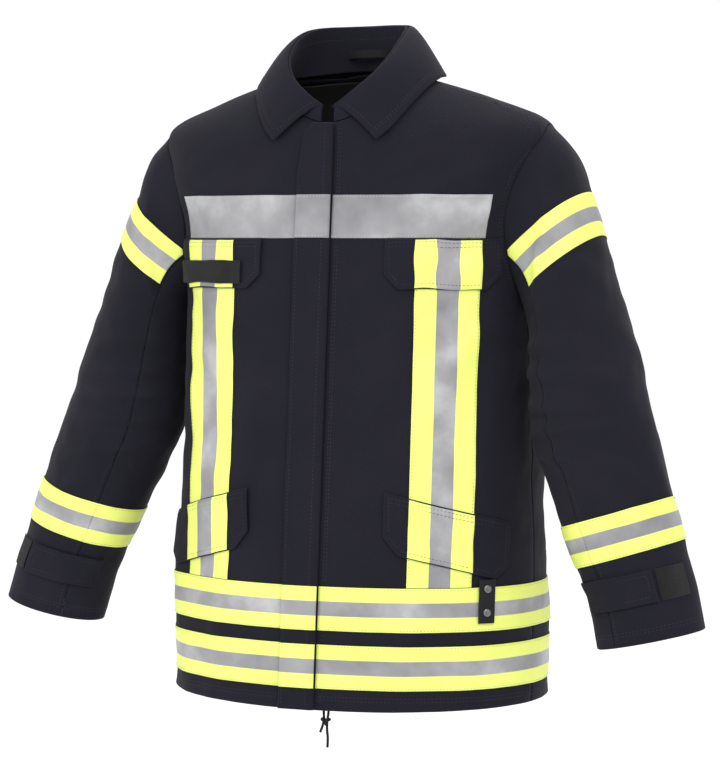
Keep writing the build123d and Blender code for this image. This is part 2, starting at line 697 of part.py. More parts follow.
SLIDER_LENGTH, SLIDER_HALF = 14.0, 5.2
with BuildPart() as zip_slider:
    slider_top = -CHAIN_THICK * 0 - 12
    with BuildSketch(front_plane(-0.5)):
        with BuildLine():
            Polyline(
                (-SLIDER_HALF, slider_top),
                (-SLIDER_HALF * 0.72, slider_top - SLIDER_LENGTH),
                (SLIDER_HALF * 0.72, slider_top - SLIDER_LENGTH),
                (SLIDER_HALF, slider_top),
                close=True,
            )
        make_face()
    extrude(amount=1.6)
    for side in (1, -1):
        with BuildSketch(front_plane(-SHELL)):
            with Locations((side * (CHAIN_HALF + 1.1), slider_top - 4)):
                Rectangle(1.3, 8)
        extrude(amount=1.8)
    with BuildSketch(front_plane(1.0)):
        with Locations((0, slider_top - 4.5)):
            Rectangle(2.4, 7)
    extrude(amount=1.2)
finish(zip_slider, "zip_slider")

with BuildPart() as zip_pull:
    with BuildSketch(front_plane(1.4)):
        with Locations((0, slider_top - 4.5 - 12)):
            RectangleRounded(7, 26, 2.2)
        with Locations((0, slider_top - 4.5)):
            Rectangle(3.2, 7.8, mode=Mode.SUBTRACT)
        with Locations((0, slider_top - 4.5 - 16)):
            RectangleRounded(3, 9, 1.2, mode=Mode.SUBTRACT)
    extrude(amount=1.3)
finish(zip_pull, "zip_pull")

with BuildPart() as zip_box:
    with BuildSketch(front_plane(-SHELL)):
        with Locations((0, 4 - FRONT_LENGTH)):
            RectangleRounded(9.5, 9, 1)
    extrude(amount=3.0)
finish(zip_box, "zip_box")

# ---- Glove strap -------------------------------------------------------------------------------
strap_height = LIFT + TAPE + 2.4
with BuildPart() as glove_strap:
    arcs = (STRAP_ARC - STRAP_WIDTH / 2, STRAP_ARC + STRAP_WIDTH / 2)
    cloth(lambda h: patch_rows(arcs, (STRAP_TOP,) * 2, (STRAP_BOTTOM,) * 2, h, 4, 5), strap_height + 1.8, 1.8)
finish(glove_strap, "glove_strap")


def snap_plane(z, height):
    origin = on_front(STRAP_ARC, z, height)
    out = on_front(STRAP_ARC, z, height + 1) - origin
    side_step = on_front(STRAP_ARC + 4, z, height) - on_front(STRAP_ARC - 4, z, height)
    return Plane(origin=origin, x_dir=side_step.normalized(), z_dir=out.normalized())


with BuildPart() as strap_caps:
    for z in SNAP_HEIGHTS:
        with BuildSketch(snap_plane(z, strap_height + 1.8 + 0.3)):
            Circle(SNAP_RADIUS)
        extrude(amount=1.0)
        with BuildSketch(snap_plane(z, strap_height + 1.8 + 1.3)):
            Circle(SNAP_RADIUS - 1.2)
        extrude(amount=0.5)
finish(strap_caps, "strap_snap_caps")

with BuildPart() as strap_studs:
    for z in SNAP_HEIGHTS:
        with BuildSketch(snap_plane(z, LIFT + TAPE + 0.35)):
            Circle(SNAP_RADIUS)
        extrude(amount=0.7)
        with BuildSketch(snap_plane(z, LIFT + TAPE + 1.0)):
            Circle(2.0)
        extrude(amount=1.0)
finish(strap_studs, "strap_snap_studs")

# ---- Drawcord at the hem -----------------------------------------------------------------------
GUIDE_X, GUIDE_Y = (18.4, 24.6), -156.2
with BuildPart() as cord_guide:
    with Locations((sum(GUIDE_X) / 2, GUIDE_Y, HEM + 5)):
        Box(19, 7.5, 9)
    fillet(cord_guide.edges().filter_by(Axis.Z), 2.5)
    with Locations(*[(x, GUIDE_Y, HEM + 5) for x in GUIDE_X]):
        Cylinder(CORD_RADIUS + 0.7, 12, mode=Mode.SUBTRACT)
finish(cord_guide, "cord_guide")


def cord_radii(points):
    """Bend radius at each inner point."""
    radii = []
    for a, b, c in zip(points, points[1:], points[2:]):
        before, after = Vector(*b) - Vector(*a), Vector(*c) - Vector(*b)
        turn = radians(before.get_angle(after))
        radii.append(0.45 * min(before.length, after.length) / tan(turn / 2))
    return radii


LONG_CORD = [
    (24.6, -156.2, -729.0),
    (24.8, -156.4, -739.0),
    (23.4, -157.6, -749.0),
    (22.9, -158.0, -760.0),
    (24.2, -157.4, -771.0),
    (23.6, -158.1, -781.0),
]
SHORT_CORD = [
    (18.4, -156.2, -729.0),
    (18.2, -156.5, -738.0),
    (19.4, -157.4, -748.0),
    (17.8, -157.9, -756.5),
    (14.6, -157.6, -764.0),
]


def cord_tube(points, radius, mode=Mode.ADD):
    """A round tube along the cord's path; returns the path's length."""
    with BuildLine() as path:
        FilletPolyline(*points, radius=cord_radii(points))
    run = path.wire()
    with BuildSketch(Plane(origin=run @ 0, z_dir=run % 0)) as section:
        Circle(radius)
    sweep(section.sketch, path=run, mode=mode)
    return run.length


for name, points in (("long", LONG_CORD), ("short", SHORT_CORD)):
    with BuildPart() as cord:
        length = cord_tube(points, CORD_RADIUS)
    print(name, "cord: bend radii", [round(r, 1) for r in cord_radii(points)], "length", round(length, 2))
    print(name, "cord: volume over section times length", cord.part.volume / (length * pi * CORD_RADIUS**2))
    finish(cord, f"drawcord_{name}")

KNOT = (21.4, -157.5, -750.5)
with BuildPart() as cord_knot:
    with Locations(KNOT):
        Sphere(6.2)
    for side in (1, -1):
        with Locations((KNOT[0], KNOT[1], KNOT[2] + 8.6 * side)):
            Box(14, 14, 8, mode=Mode.SUBTRACT)
    for points in (LONG_CORD, SHORT_CORD):
        cord_tube(points, CORD_RADIUS + 0.25, Mode.SUBTRACT)
finish(cord_knot, "cord_knot")
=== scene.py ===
import math
import bpy
import numpy as np
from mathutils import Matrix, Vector


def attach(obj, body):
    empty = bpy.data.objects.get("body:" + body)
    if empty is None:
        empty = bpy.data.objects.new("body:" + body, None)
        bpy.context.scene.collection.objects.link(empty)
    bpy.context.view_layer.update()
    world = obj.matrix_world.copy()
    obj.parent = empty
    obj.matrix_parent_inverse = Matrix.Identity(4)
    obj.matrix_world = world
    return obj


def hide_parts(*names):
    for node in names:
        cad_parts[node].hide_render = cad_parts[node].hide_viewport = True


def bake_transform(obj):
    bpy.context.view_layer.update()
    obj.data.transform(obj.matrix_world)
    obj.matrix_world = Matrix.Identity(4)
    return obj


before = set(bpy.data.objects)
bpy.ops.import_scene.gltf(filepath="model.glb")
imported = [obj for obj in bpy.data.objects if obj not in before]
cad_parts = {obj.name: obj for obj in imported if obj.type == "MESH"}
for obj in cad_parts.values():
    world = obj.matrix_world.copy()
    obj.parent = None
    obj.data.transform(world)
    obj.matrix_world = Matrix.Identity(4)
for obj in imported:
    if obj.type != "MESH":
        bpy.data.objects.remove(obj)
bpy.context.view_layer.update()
RNG = np.random.default_rng(11)

# ---- Driving sizes, millimetres, as in the CAD model; meshes are written in metres ---------------
LIFT, TAPE, SHELL = 0.6, 0.8, 2.0
MOVE_GAP, FLAP_THICK = 2.3, 1.8
UPRIGHT = (113.0, 188.0)
CHEST_TOP, CHEST_BOTTOM, CHEST_TAPE_END = -149.0, -199.0, 196.0
HEM_TAPES = ((-597.0, -647.0), (-663.0, -713.0))
HEM = -738.0
ZIP_TOP, ZIP_FOOT = np.array([0, -103.0, -75.0]), np.array([0, -165.0, -738.0])
FLAP_SEAM, FLAP_FREE, FLAP_GAP, FLAP_TOP = 10.0, -33.0, 4.6, 9.0
CHEST_FLAP, CHEST_DROP = (77.0, 213.0), 58.0
LOW_FLAP, LOW_TOPS, LOW_DROP = (85.0, 233.0), (-488.0, -524.0), 68.0
CORNER, SEAM = 17.0, 0.5
ARMHOLE = (5.0, -170.0, 67.0, 104.0)
YOKE_FRONT, YOKE_BACK = -36.0, 40.0
SIDE_FOOT_Y, SIDE_TOP_Y = -34.0, 5.0
ARMPIT = ARMHOLE[1] - ARMHOLE[3]
ELBOW, SLEEVE_SEAM, NECK = 5.5, 118.0, 8


def front_y(z):
    share = (z - ZIP_TOP[2]) / (ZIP_FOOT[2] - ZIP_TOP[2])
    return ZIP_TOP[1] + share * (ZIP_FOOT[1] - ZIP_TOP[1])


def ring(half, side_y, back_y, front_z, side_z, back_z, square):
    return (half, front_y(front_z), side_y, back_y, front_z, side_z, back_z, square)


RINGS = np.array([
    ring(230, 0, 158, HEM, -735, HEM, 2.1),
    ring(227, 0, 157, -590, -590, -590, 2.15),
    ring(218, 0, 155, -430, -430, -430, 2.3),
    ring(210, 0, 150, -290, -290, -290, 2.6),
    ring(215, 0, 142, -195, -192, -190, 2.8),
    ring(231, 0, 126, -130, -118, -118, 2.7),
    ring(238, 0, 102, -98, -68, -64, 2.4),
    ring(168, -12, 72, -80, -36, -27, 2.2),
    ring(82, -30, 38, -66, -9, 0, 2.0),
], float)
SLEEVE_RINGS = np.array([
    (238, -66, 208, -274, 5, 67),
    (264, -96, 213, -290, 4, 71),
    (284, -148, 218, -310, 0, 74),
    (306, -206, 220, -332, -6, 74),
    (327, -271, 222, -362, -12, 72),
    (349, -340, 225, -402, -20, 69),
    (365, -392, 231, -440, -27, 66),
    (380, -438, 245, -472, -33, 64),
    (394, -485, 263, -514, -39, 61),
    (409, -532, 283, -560, -46, 57),
    (424, -579, 302, -608, -53, 53),
    (440, -636, 317, -664, -60, 50),
], float)
CUFF = len(SLEEVE_RINGS) - 1
COLLAR = np.array([
    (3.0, -99.0, -47.0, 64.0, -110.0, -86.0),
    (26.0, -98.0, -31.0, 80.0, -101.0, -71.0),
    (48.0, -89.0, -12.0, 95.0, -85.0, -49.0),
    (62.0, -70.0, 10.0, 108.0, -60.0, -26.0),
    (66.0, -44.0, 30.0, 114.0, -28.0, -12.0),
    (64.0, -14.0, 45.0, 108.0, 6.0, -9.0),
    (55.0, 14.0, 52.0, 88.0, 36.0, -8.0),
    (32.0, 32.0, 54.0, 48.0, 55.0, -7.0),
    (0.0, 38.0, 54.0, 0.0, 61.0, -7.0),
], float)


# ---- Surfaces, on arrays of parameters -----------------------------------------------------------
def smooth(rows, place):
    """Rows of the table at fractional places, on a smooth curve; place is an array."""
    place = np.asarray(place, float)
    last = len(rows) - 1
    padded_rows = np.vstack([2 * rows[0] - rows[1], rows, 2 * rows[-1] - rows[-2]])
    low = np.clip(place.astype(int), 0, last - 1)
    f = (place - low)[..., None]
    p, q, r, s = (padded_rows[low + k] for k in range(4))
    return 0.5 * (2 * q + (r - p) * f + (2 * p - 5 * q + 4 * r - s) * f**2 + (3 * q - p - 3 * r + s) * f**3)


def body(angle, place):
    angle, place = np.broadcast_arrays(np.asarray(angle, float), np.asarray(place, float))
    half, front, side_y, back, front_z, side_z, back_z, square = np.moveaxis(smooth(RINGS, place), -1, 0)
    s, c = np.sin(np.radians(angle)), np.cos(np.radians(angle))
    depth = np.where(c >= 0, side_y - front, back - side_y)
    end_z = np.where(c >= 0, front_z, back_z)
    reach = (np.abs(s) ** square + np.abs(c) ** square) ** (-1 / square)
    return np.stack([half * s * reach, side_y - depth * c * reach, side_z + (end_z - side_z) * c * c], -1)


def bisect(test, low, high, steps=30):
    """Where test turns from true to false, between arrays low and high."""
    low, high = np.array(low, float), np.array(high, float)
    for _ in range(steps):
        middle = (low + high) / 2
        yes = test(middle)
        low, high = np.where(yes, middle, low), np.where(yes, high, middle)
    return (low + high) / 2


def place_at(angle, z):
    angle, z = np.broadcast_arrays(np.asarray(angle, float), np.asarray(z, float))
    return bisect(lambda v: body(angle, v)[..., 2] < z, np.zeros(z.shape), np.full(z.shape, 8.0))


ARC_ANGLES = np.linspace(0, 130, 261)


def angle_at(arc, place):
    """The angle that lies arc millimetres round from the centre front, for arrays."""
    arc, place = np.broadcast_arrays(np.asarray(arc, float), np.asarray(place, float))
    line = body(ARC_ANGLES, place[..., None])
    steps = np.linalg.norm(np.diff(line, axis=-2), axis=-1)
    run = np.concatenate([np.zeros(place.shape + (1,)), np.cumsum(steps, -1)], -1)
    out = np.empty(arc.shape)
    for i in np.ndindex(arc.shape):
        out[i] = np.sign(arc[i]) * np.interp(abs(arc[i]), run[i], ARC_ANGLES)
    return out


def on_front(arc, z):
    """(angle, place) of the point arc millimetres round from the centre front at height z."""
    arc, z = np.broadcast_arrays(np.asarray(arc, float), np.asarray(z, float))
    place = place_at(np.zeros(z.shape), z)
    for _ in range(2):
        place = place_at(angle_at(arc, place), z)
    return angle_at(arc, place), place


def body_solve(y, z):
    """(angle, place) of the body's left side at depth y and height z."""
    y, z = np.broadcast_arrays(np.asarray(y, float), np.asarray(z, float))
    low, high = np.full(y.shape, 15.0), np.full(y.shape, 165.0)
    angle = bisect(lambda a: body(a, place_at(a, z))[..., 1] < y, low, high, 24)
    return angle, place_at(angle, z)


HOLE_TURN = np.linspace(0, 360, 97)
_turn = np.radians(HOLE_TURN)
_y = ARMHOLE[0] - ARMHOLE[2] * np.sin(_turn)
_z = ARMHOLE[1] + ARMHOLE[3] * np.cos(_turn)
HOLE_ANGLE, HOLE_PLACE = body_solve(_y, _z)
HOLE_POINTS = body(HOLE_ANGLE, HOLE_PLACE)


def sleeve(angle, place):
    """A point on the left sleeve; angle 0 is outside, 90 the front, 180 inside."""
    angle, place = np.broadcast_arrays(np.asarray(angle, float), np.asarray(place, float))
    s, c = np.sin(np.radians(angle)), np.cos(np.radians(angle))

    def plain(rows):
        ox, oz, ix, iz, y, depth = np.moveaxis(rows, -1, 0)
        x = (ox + ix) / 2 + (ox - ix) / 2 * c
        z = (oz + iz) / 2 + (oz - iz) / 2 * c
        return np.stack([x, y - depth * s, z], -1)

    point = plain(smooth(SLEEVE_RINGS, place))
    first = plain(np.broadcast_to(SLEEVE_RINGS[0], place.shape + (6,)))
    turn = np.mod(angle, 360)
    hole = np.stack([np.interp(turn, HOLE_TURN, HOLE_POINTS[:, k]) for k in range(3)], -1)
    fade = np.clip(1 - place / 2, 0, 1)[..., None] ** 2
    return point + (hole - first) * fade


def collar_lines(place):
    """Fold and free edge; place 0 is the wearer's left tip, 16 the right one."""
    place = np.asarray(place, float)
    near = np.where(place <= 8, place, 16 - place)
    side = np.where(place <= 8, 1.0, -1.0)[..., None]
    mirrored = COLLAR[7] * np.array([-1, 1, 1, -1, 1, 1])
    rows = smooth(np.vstack([COLLAR, mirrored]), near)
    flip = np.concatenate([side, np.ones_like(side), np.ones_like(side)], -1)
    return rows[..., :3] * flip, rows[..., 3:] * flip


def collar_fall(place, share):
    place, share = np.broadcast_arrays(np.asarray(place, float), np.asarray(share, float))
    fold, edge = collar_lines(place)
    out = edge - fold
    out[..., 2] = 0
    out /= np.linalg.norm(out, axis=-1, keepdims=True)
    start, bend = fold + out * 0.5, fold + out * 13 + np.array([0, 0, 7.0])
    f = share[..., None]
    return start * (1 - f) ** 2 + bend * (2 * f * (1 - f)) + edge * f**2


def collar_stand(place, share):
    place, share = np.broadcast_arrays(np.asarray(place, float), np.asarray(share, float))
    fold, _ = collar_lines(place)
    near = np.where(place <= 8, place, 16 - place)
    side = np.where(place <= 8, 1.0, -1.0)
    seam = body(side * (1.5 + 180 * near / 8 * 0.9917), np.full(place.shape, 8.0)) + np.array([0, 0, 0.4])
    seam = seam * 0.992
    return seam + (fold - seam) * share[..., None]


# ---- Folds in the cloth --------------------------------------------------------------------------
# each: from x, z to x, z (mm, seen from the front), half width, height; then the side it is on
FOLDS_FRONT = [
    (214, -108, 62, -196, 15, 4.2),
    (218, -150, 96, -252, 13, 3.6),
    (205, -215, 60, -330, 17, 4.0),
    (198, -285, 120, -420, 17, 3.2),
    (-212, -120, -80, -205, 14, 2.8),
    (-206, -205, -96, -318, 15, 3.0),
    (-204, -270, -150, -470, 16, 3.6),
    (205, -330, 190, -560, 15, 3.4),
    (60, -330, 84, -560, 26, 2.6),
    (-70, -300, -92, -540, 24, 2.6),
    (150, -360, 128, -480, 20, 1.8),
    (-216, -520, -170, -720, 24, 4.0),
    (218, -560, 176, -730, 24, 4.0),
    (120, -600, 110, -735, 26, 2.4),
    (-120, -590, -104, -735, 26, 2.4),
    (96, -78, 190, -122, 12, 1.8),
    (-96, -80, -186, -128, 12, 1.6),
]
FOLDS_BACK = [
    (190, -150, 30, -250, 20, 3.4),
    (-196, -140, -24, -262, 20, 3.6),
    (186, -230, 70, -420, 22, 3.6),
    (-190, -240, -60, -440, 22, 3.4),
    (20, -300, 40, -700, 34, 3.4),
    (-110, -420, -96, -735, 30, 3.8),
    (120, -440, 132, -735, 30, 3.8),
]


def fold_height(x, z, folds):
    total = np.zeros_like(x)
    for ax, az, bx, bz, width, height in folds:
        dx, dz = bx - ax, bz - az
        length = math.hypot(dx, dz)
        t = ((x - ax) * dx + (z - az) * dz) / length**2
        off = ((x - ax) * dz - (z - az) * dx) / length
        bow = 9 * np.sin(np.clip(t, 0, 1) * math.pi)
        d = (off - bow) / (width * (0.8 + 0.5 * np.clip(t, 0, 1)))
        fade = np.clip(1 - ((t - 0.5) / 0.62) ** 2, 0, 1) ** 1.5
        total += height * fade * (1 - 0.85 * d**2) * np.exp(-(d**2))
    return total


WAVE_SIZES = ((150, 0.9), (110, 0.8), (84, 0.7), (60, 0.55), (46, 0.45), (34, 0.32), (25, 0.24), (19, 0.16))
WAVES = [
    (RNG.normal(0, 1, 3), RNG.uniform(0, 2 * math.pi), length, height)
    for length, height in WAVE_SIZES * 2
]


def ripple(p):
    total = np.zeros(p.shape[:-1])
    for direction, phase, wave, height in WAVES:
        k = direction / np.linalg.norm(direction) * 2 * math.pi / wave
        total += height * np.sin(p @ k + phase + 0.8 * np.sin(p[..., 2] / 70 + phase))
    return total


HAND = [1]  # -1 while a piece is made to be mirrored to the wearer's right


def coat_folds(p):
    """How far the cloth stands off its smooth shape at points p (mm)."""
    p = p * np.array([HAND[0], 1, 1])
    x, y, z = p[..., 0], p[..., 1], p[..., 2]
    front = 1 / (1 + np.exp((y - 10) / 22))
    level = fold_height(x, z, FOLDS_FRONT) * front + fold_height(x, z, FOLDS_BACK) * (1 - front)
    level = level + ripple(p) * 0.55
    centre = 1 - np.exp(-((np.abs(x) / 62) ** 4)) * (y < 0)
    neck = np.clip((-30 - z) / 60, 0, 1)
    calm = 1 - np.exp(-((x - 197) / 48) ** 4 - ((z + 612) / 52) ** 4) * (y < 0)
    return level * centre * neck * calm


SLEEVE_FOLDS = [
    # angle from, place from, angle to, place to, half width mm, height
    (150, 3.0, 60, 4.6, 13, 4.6),
    (160, 3.8, 40, 5.2, 12, 4.0),
    (170, 4.6, 70, 5.6, 12, 4.8),
    (165, 5.4, 50, 6.2, 12, 4.6),
    (150, 6.2, 60, 7.2, 13, 3.8),
    (120, 2.0, 30, 3.4, 15, 3.0),
    (210, 3.2, 300, 4.6, 15, 3.6),
    (200, 4.6, 310, 5.4, 14, 3.4),
    (215, 5.8, 290, 7.0, 15, 3.6),
    (20, 4.4, -60, 5.8, 18, 3.0),
    (110, 7.4, 20, 9.0, 16, 2.6),
    (100, 8.6, 170, 10.2, 15, 2.4),
    (60, 1.0, 110, 2.2, 16, 2.4),
    (20, 6.6, 10, 8.8, 18, 2.4),
    (240, 8.0, 300, 10.0, 17, 2.6),
]


def sleeve_folds(angle, place, p, side):
    """Folds on a sleeve; they fade to the coat's own at the armhole."""
    a = np.mod(angle + 60, 360) - 60
    total = np.zeros_like(a)
    for k, (a0, p0, a1, p1, width, height) in enumerate(SLEEVE_FOLDS):
        shift = 0.0 if side > 0 else (8 * math.sin(k * 2.1))
        ax, az, bx, bz = a0 * 1.12 + shift, p0 * 56, a1 * 1.12 + shift, p1 * 56 + shift
        x, z = a * 1.12, place * 56
        dx, dz = bx - ax, bz - az
        length = math.hypot(dx, dz)
        t = ((x - ax) * dx + (z - az) * dz) / length**2
        off = ((x - ax) * dz - (z - az) * dx) / length
        d = off / width
        fade = np.clip(1 - ((t - 0.5) / 0.66) ** 2, 0, 1) ** 1.5
        total += height * fade * (1 - 0.8 * d**2) * np.exp(-(d**2))
    near = np.clip(place / 1.6, 0, 1)
    near = near * near * (3 - 2 * near)
    end = 1 - 0.75 * np.clip((place - CUFF + 1.2) / 1.2, 0, 1)
    return coat_folds(p) * (1 - near) + (total + ripple(p * np.array([side, 1, 1])) * 0.6) * near * end


# ---- Points with a height over the folded cloth ---------------------------------------------------
def normal_of(surface, a, b, step_a, step_b, low_b, high_b):
    across = surface(a + step_a, b) - surface(a - step_a, b)
    along = surface(a, np.clip(b + step_b, low_b, high_b)) - surface(a, np.clip(b - step_b, low_b, high_b))
    n = np.cross(across, along)
    return n / np.linalg.norm(n, axis=-1, keepdims=True)


def on_body(a, v, height):
    def folded(a, v):
        p = body(a, v)
        return p + normal_of(body, a, v, 0.5, 0.01, 0, NECK) * coat_folds(p)[..., None]

    return folded(a, v) + normal_of(folded, a, v, 0.5, 0.02, 0, NECK) * np.asarray(height)[..., None]


def on_sleeve(a, w, height, side=1):
    def folded(a, w):
        p = sleeve(a, w)
        return p + normal_of(sleeve, a, w, 0.5, 0.01, 0, CUFF) * sleeve_folds(a, w, p, side)[..., None]

    return folded(a, w) + normal_of(folded, a, w, 0.5, 0.02, 0, CUFF) * np.asarray(height)[..., None]


# ---- Mesh building --------------------------------------------------------------------------------
def new_object(name, points, faces, uv=None):
    mesh = bpy.data.meshes.new(name)
    mesh.from_pydata([tuple(p) for p in points], [], faces)
    mesh.update()
    if uv is not None:
        layer = mesh.uv_layers.new(name="UVMap")
        loop_vertex = np.empty(len(mesh.loops), int)
        mesh.loops.foreach_get("vertex_index", loop_vertex)
        layer.data.foreach_set("uv", np.asarray(uv, np.float32)[loop_vertex].ravel())
    mesh.polygons.foreach_set("use_smooth", [True] * len(mesh.polygons))
    thing = bpy.data.objects.new(name, mesh)
    bpy.context.scene.collection.objects.link(thing)
    return thing


def cloth(name, surface, a, b, height, thickness, side=1, material=None, open_row=None):
    """A closed piece of cloth over a surface: its outer face at a height, its edges rolled over.

    surface(a, b, height) gives points in mm for arrays of parameters. open_row is a row, 0 or -1, that
    goes on in the next piece and so has no edge.
    """
    a, b = np.broadcast_arrays(np.asarray(a, float), np.asarray(b, float))
    roll = min(thickness * 0.45, 0.9)
    height = np.broadcast_to(np.asarray(height, float), a.shape)
    outer = surface(a, b, height)
    inner = surface(a, b, height - thickness)
    middle = (outer + inner) / 2

    def pulled(g):
        g = g.copy()
        for axis in (0, 1):
            h = np.moveaxis(g, axis, 0)
            for edge, near in ((0, 1), (-1, -2)):
                if axis == 0 and edge == open_row:
                    continue
                d = h[near] - h[edge]
                n = np.linalg.norm(d, axis=-1, keepdims=True) + 1e-9
                h[edge] = h[edge] + d / n * np.minimum(roll, n * 0.6)
        return g

    outer, inner = pulled(outer), pulled(inner)
    rows, cols = a.shape
    count = rows * cols
    points = np.concatenate([outer.reshape(-1, 3), inner.reshape(-1, 3)])
    border = [(0, j) for j in range(cols)] + [(i, cols - 1) for i in range(1, rows)]
    border += [(rows - 1, j) for j in range(cols - 2, -1, -1)] + [(i, 0) for i in range(rows - 2, 0, -1)]
    rim = np.array([middle[i, j] for i, j in border])
    points = np.concatenate([points, rim])
    steps_a = np.linalg.norm(np.diff(middle, axis=1), axis=-1)
    steps_b = np.linalg.norm(np.diff(middle, axis=0), axis=-1)
    run_a = np.concatenate([np.zeros((rows, 1)), np.cumsum(steps_a, 1)], 1)
    run_b = np.concatenate([np.zeros((1, cols)), np.cumsum(steps_b, 0)], 0)
    uv = np.stack([run_a, run_b], -1) / 1000
    uv_all = np.concatenate([uv.reshape(-1, 2), uv.reshape(-1, 2), np.array([uv[i, j] for i, j in border])])
    idx = np.arange(count).reshape(rows, cols)
    quads = np.stack([idx[:-1, :-1], idx[:-1, 1:], idx[1:, 1:], idx[1:, :-1]], -1).reshape(-1, 4)
    faces = quads.tolist() + (quads[:, ::-1] + count).tolist()
    n = len(border)
    skipped = None if open_row is None else open_row % rows
    for k in range(n):
        (i0, j0), (i1, j1) = border[k], border[(k + 1) % n]
        if i0 == i1 == skipped:
            continue
        o0, o1 = int(idx[i0, j0]), int(idx[i1, j1])
        m0, m1 = 2 * count + k, 2 * count + (k + 1) % n
        faces.append([o1, o0, m0, m1])
        faces.append([m1, m0, o0 + count, o1 + count])
    points = points / 1000
    if side < 0:
        points = points * np.array([-1, 1, 1.0])
        faces = [f[::-1] for f in faces]
    thing = new_object(name, points, faces, uv_all)
    if material:
        thing.data.materials.append(material)
    return thing


def coons(bottom, top, left, right, rows, cols):
    """A grid of parameters inside four boundary curves, each an array of (a, b) pairs."""

    def even(curve, count, surface=body):
        p = surface(curve[:, 0], curve[:, 1])
        run = np.concatenate([[0], np.cumsum(np.linalg.norm(np.diff(p, axis=0), axis=-1))])
        at = np.linspace(0, run[-1], count)
        return np.stack([np.interp(at, run, curve[:, k]) for k in range(2)], -1)

    b, t, l, r = even(bottom, cols), even(top, cols), even(left, rows), even(right, rows)
    u = np.linspace(0, 1, cols)[None, :, None]
    v = np.linspace(0, 1, rows)[:, None, None]
    grid = (1 - v) * b[None] + v * t[None] + (1 - u) * l[:, None] + u * r[:, None]
    grid -= (1 - u) * (1 - v) * b[0] + u * (1 - v) * b[-1] + (1 - u) * v * t[0] + u * v * t[-1]
    return grid[..., 0], grid[..., 1]


# ---- Materials ------------------------------------------------------------------------------------
def nodes_of(name):
    m = bpy.data.materials.new(name)
    m.use_nodes = True
    t = m.node_tree
    t.nodes.clear()
    out = t.nodes.new("ShaderNodeOutputMaterial")
    shader = t.nodes.new("ShaderNodeBsdfPrincipled")
    t.links.new(shader.outputs[0], out.inputs[0])
    return m, t, shader


def node(t, kind, **values):
    n = t.nodes.new(kind)
    for key, value in values.items():
        if key in n.inputs:
            n.inputs[key].default_value = value
        else:
            setattr(n, key, value)
    return n


def ramp(t, source, stops):
    n = t.nodes.new("ShaderNodeValToRGB")
    n.color_ramp.elements[0].position, n.color_ramp.elements[0].color = stops[0][0], (*stops[0][1], 1)
    n.color_ramp.elements[1].position, n.color_ramp.elements[1].color = stops[-1][0], (*stops[-1][1], 1)
    for position, colour in stops[1:-1]:
        e = n.color_ramp.elements.new(position)
        e.color = (*colour, 1)
    t.links.new(source, n.inputs[0])
    return n.outputs[0]


def woven(name, dark, light, rough=0.85, sheen=0.03, pitch=900.0, slant=45.0, strength=0.25, noise=9.0):
    """Cloth: a fine slanted weave in the bump, and a soft, uneven colour."""
    m, t, shader = nodes_of(name)
    uv = node(t, "ShaderNodeTexCoord")
    turn = node(t, "ShaderNodeMapping")
    turn.inputs["Rotation"].default_value = (0, 0, math.radians(slant))
    t.links.new(uv.outputs["UV"], turn.inputs[0])
    wave = node(t, "ShaderNodeTexWave", **{"Scale": pitch / 6.2832, "Distortion": 0.6, "Detail": 2.0})
    t.links.new(turn.outputs[0], wave.inputs["Vector"])
    patches = node(t, "ShaderNodeTexNoise", **{"Scale": noise, "Detail": 5.0, "Roughness": 0.6})
    t.links.new(uv.outputs["Object"], patches.inputs["Vector"])
    fuzz = node(t, "ShaderNodeTexNoise", **{"Scale": 420.0, "Detail": 3.0})
    t.links.new(uv.outputs["Object"], fuzz.inputs["Vector"])
    colour = ramp(t, patches.outputs[0], [(0.3, dark), (0.72, light)])
    t.links.new(colour, shader.inputs["Base Color"])
    shader.inputs["Roughness"].default_value = rough
    shader.inputs["Sheen Weight"].default_value = sheen
    shader.inputs["Sheen Roughness"].default_value = 0.45
    shader.inputs["Specular IOR Level"].default_value = 0.16
    bump = node(t, "ShaderNodeBump", **{"Strength": strength, "Distance": 0.0006})
    mix = node(t, "ShaderNodeMath", operation="ADD")
    t.links.new(wave.outputs["Fac"], mix.inputs[0])
    t.links.new(fuzz.outputs[0], mix.inputs[1])
    t.links.new(mix.outputs[0], bump.inputs["Height"])
    t.links.new(bump.outputs[0], shader.inputs["Normal"])
    return m


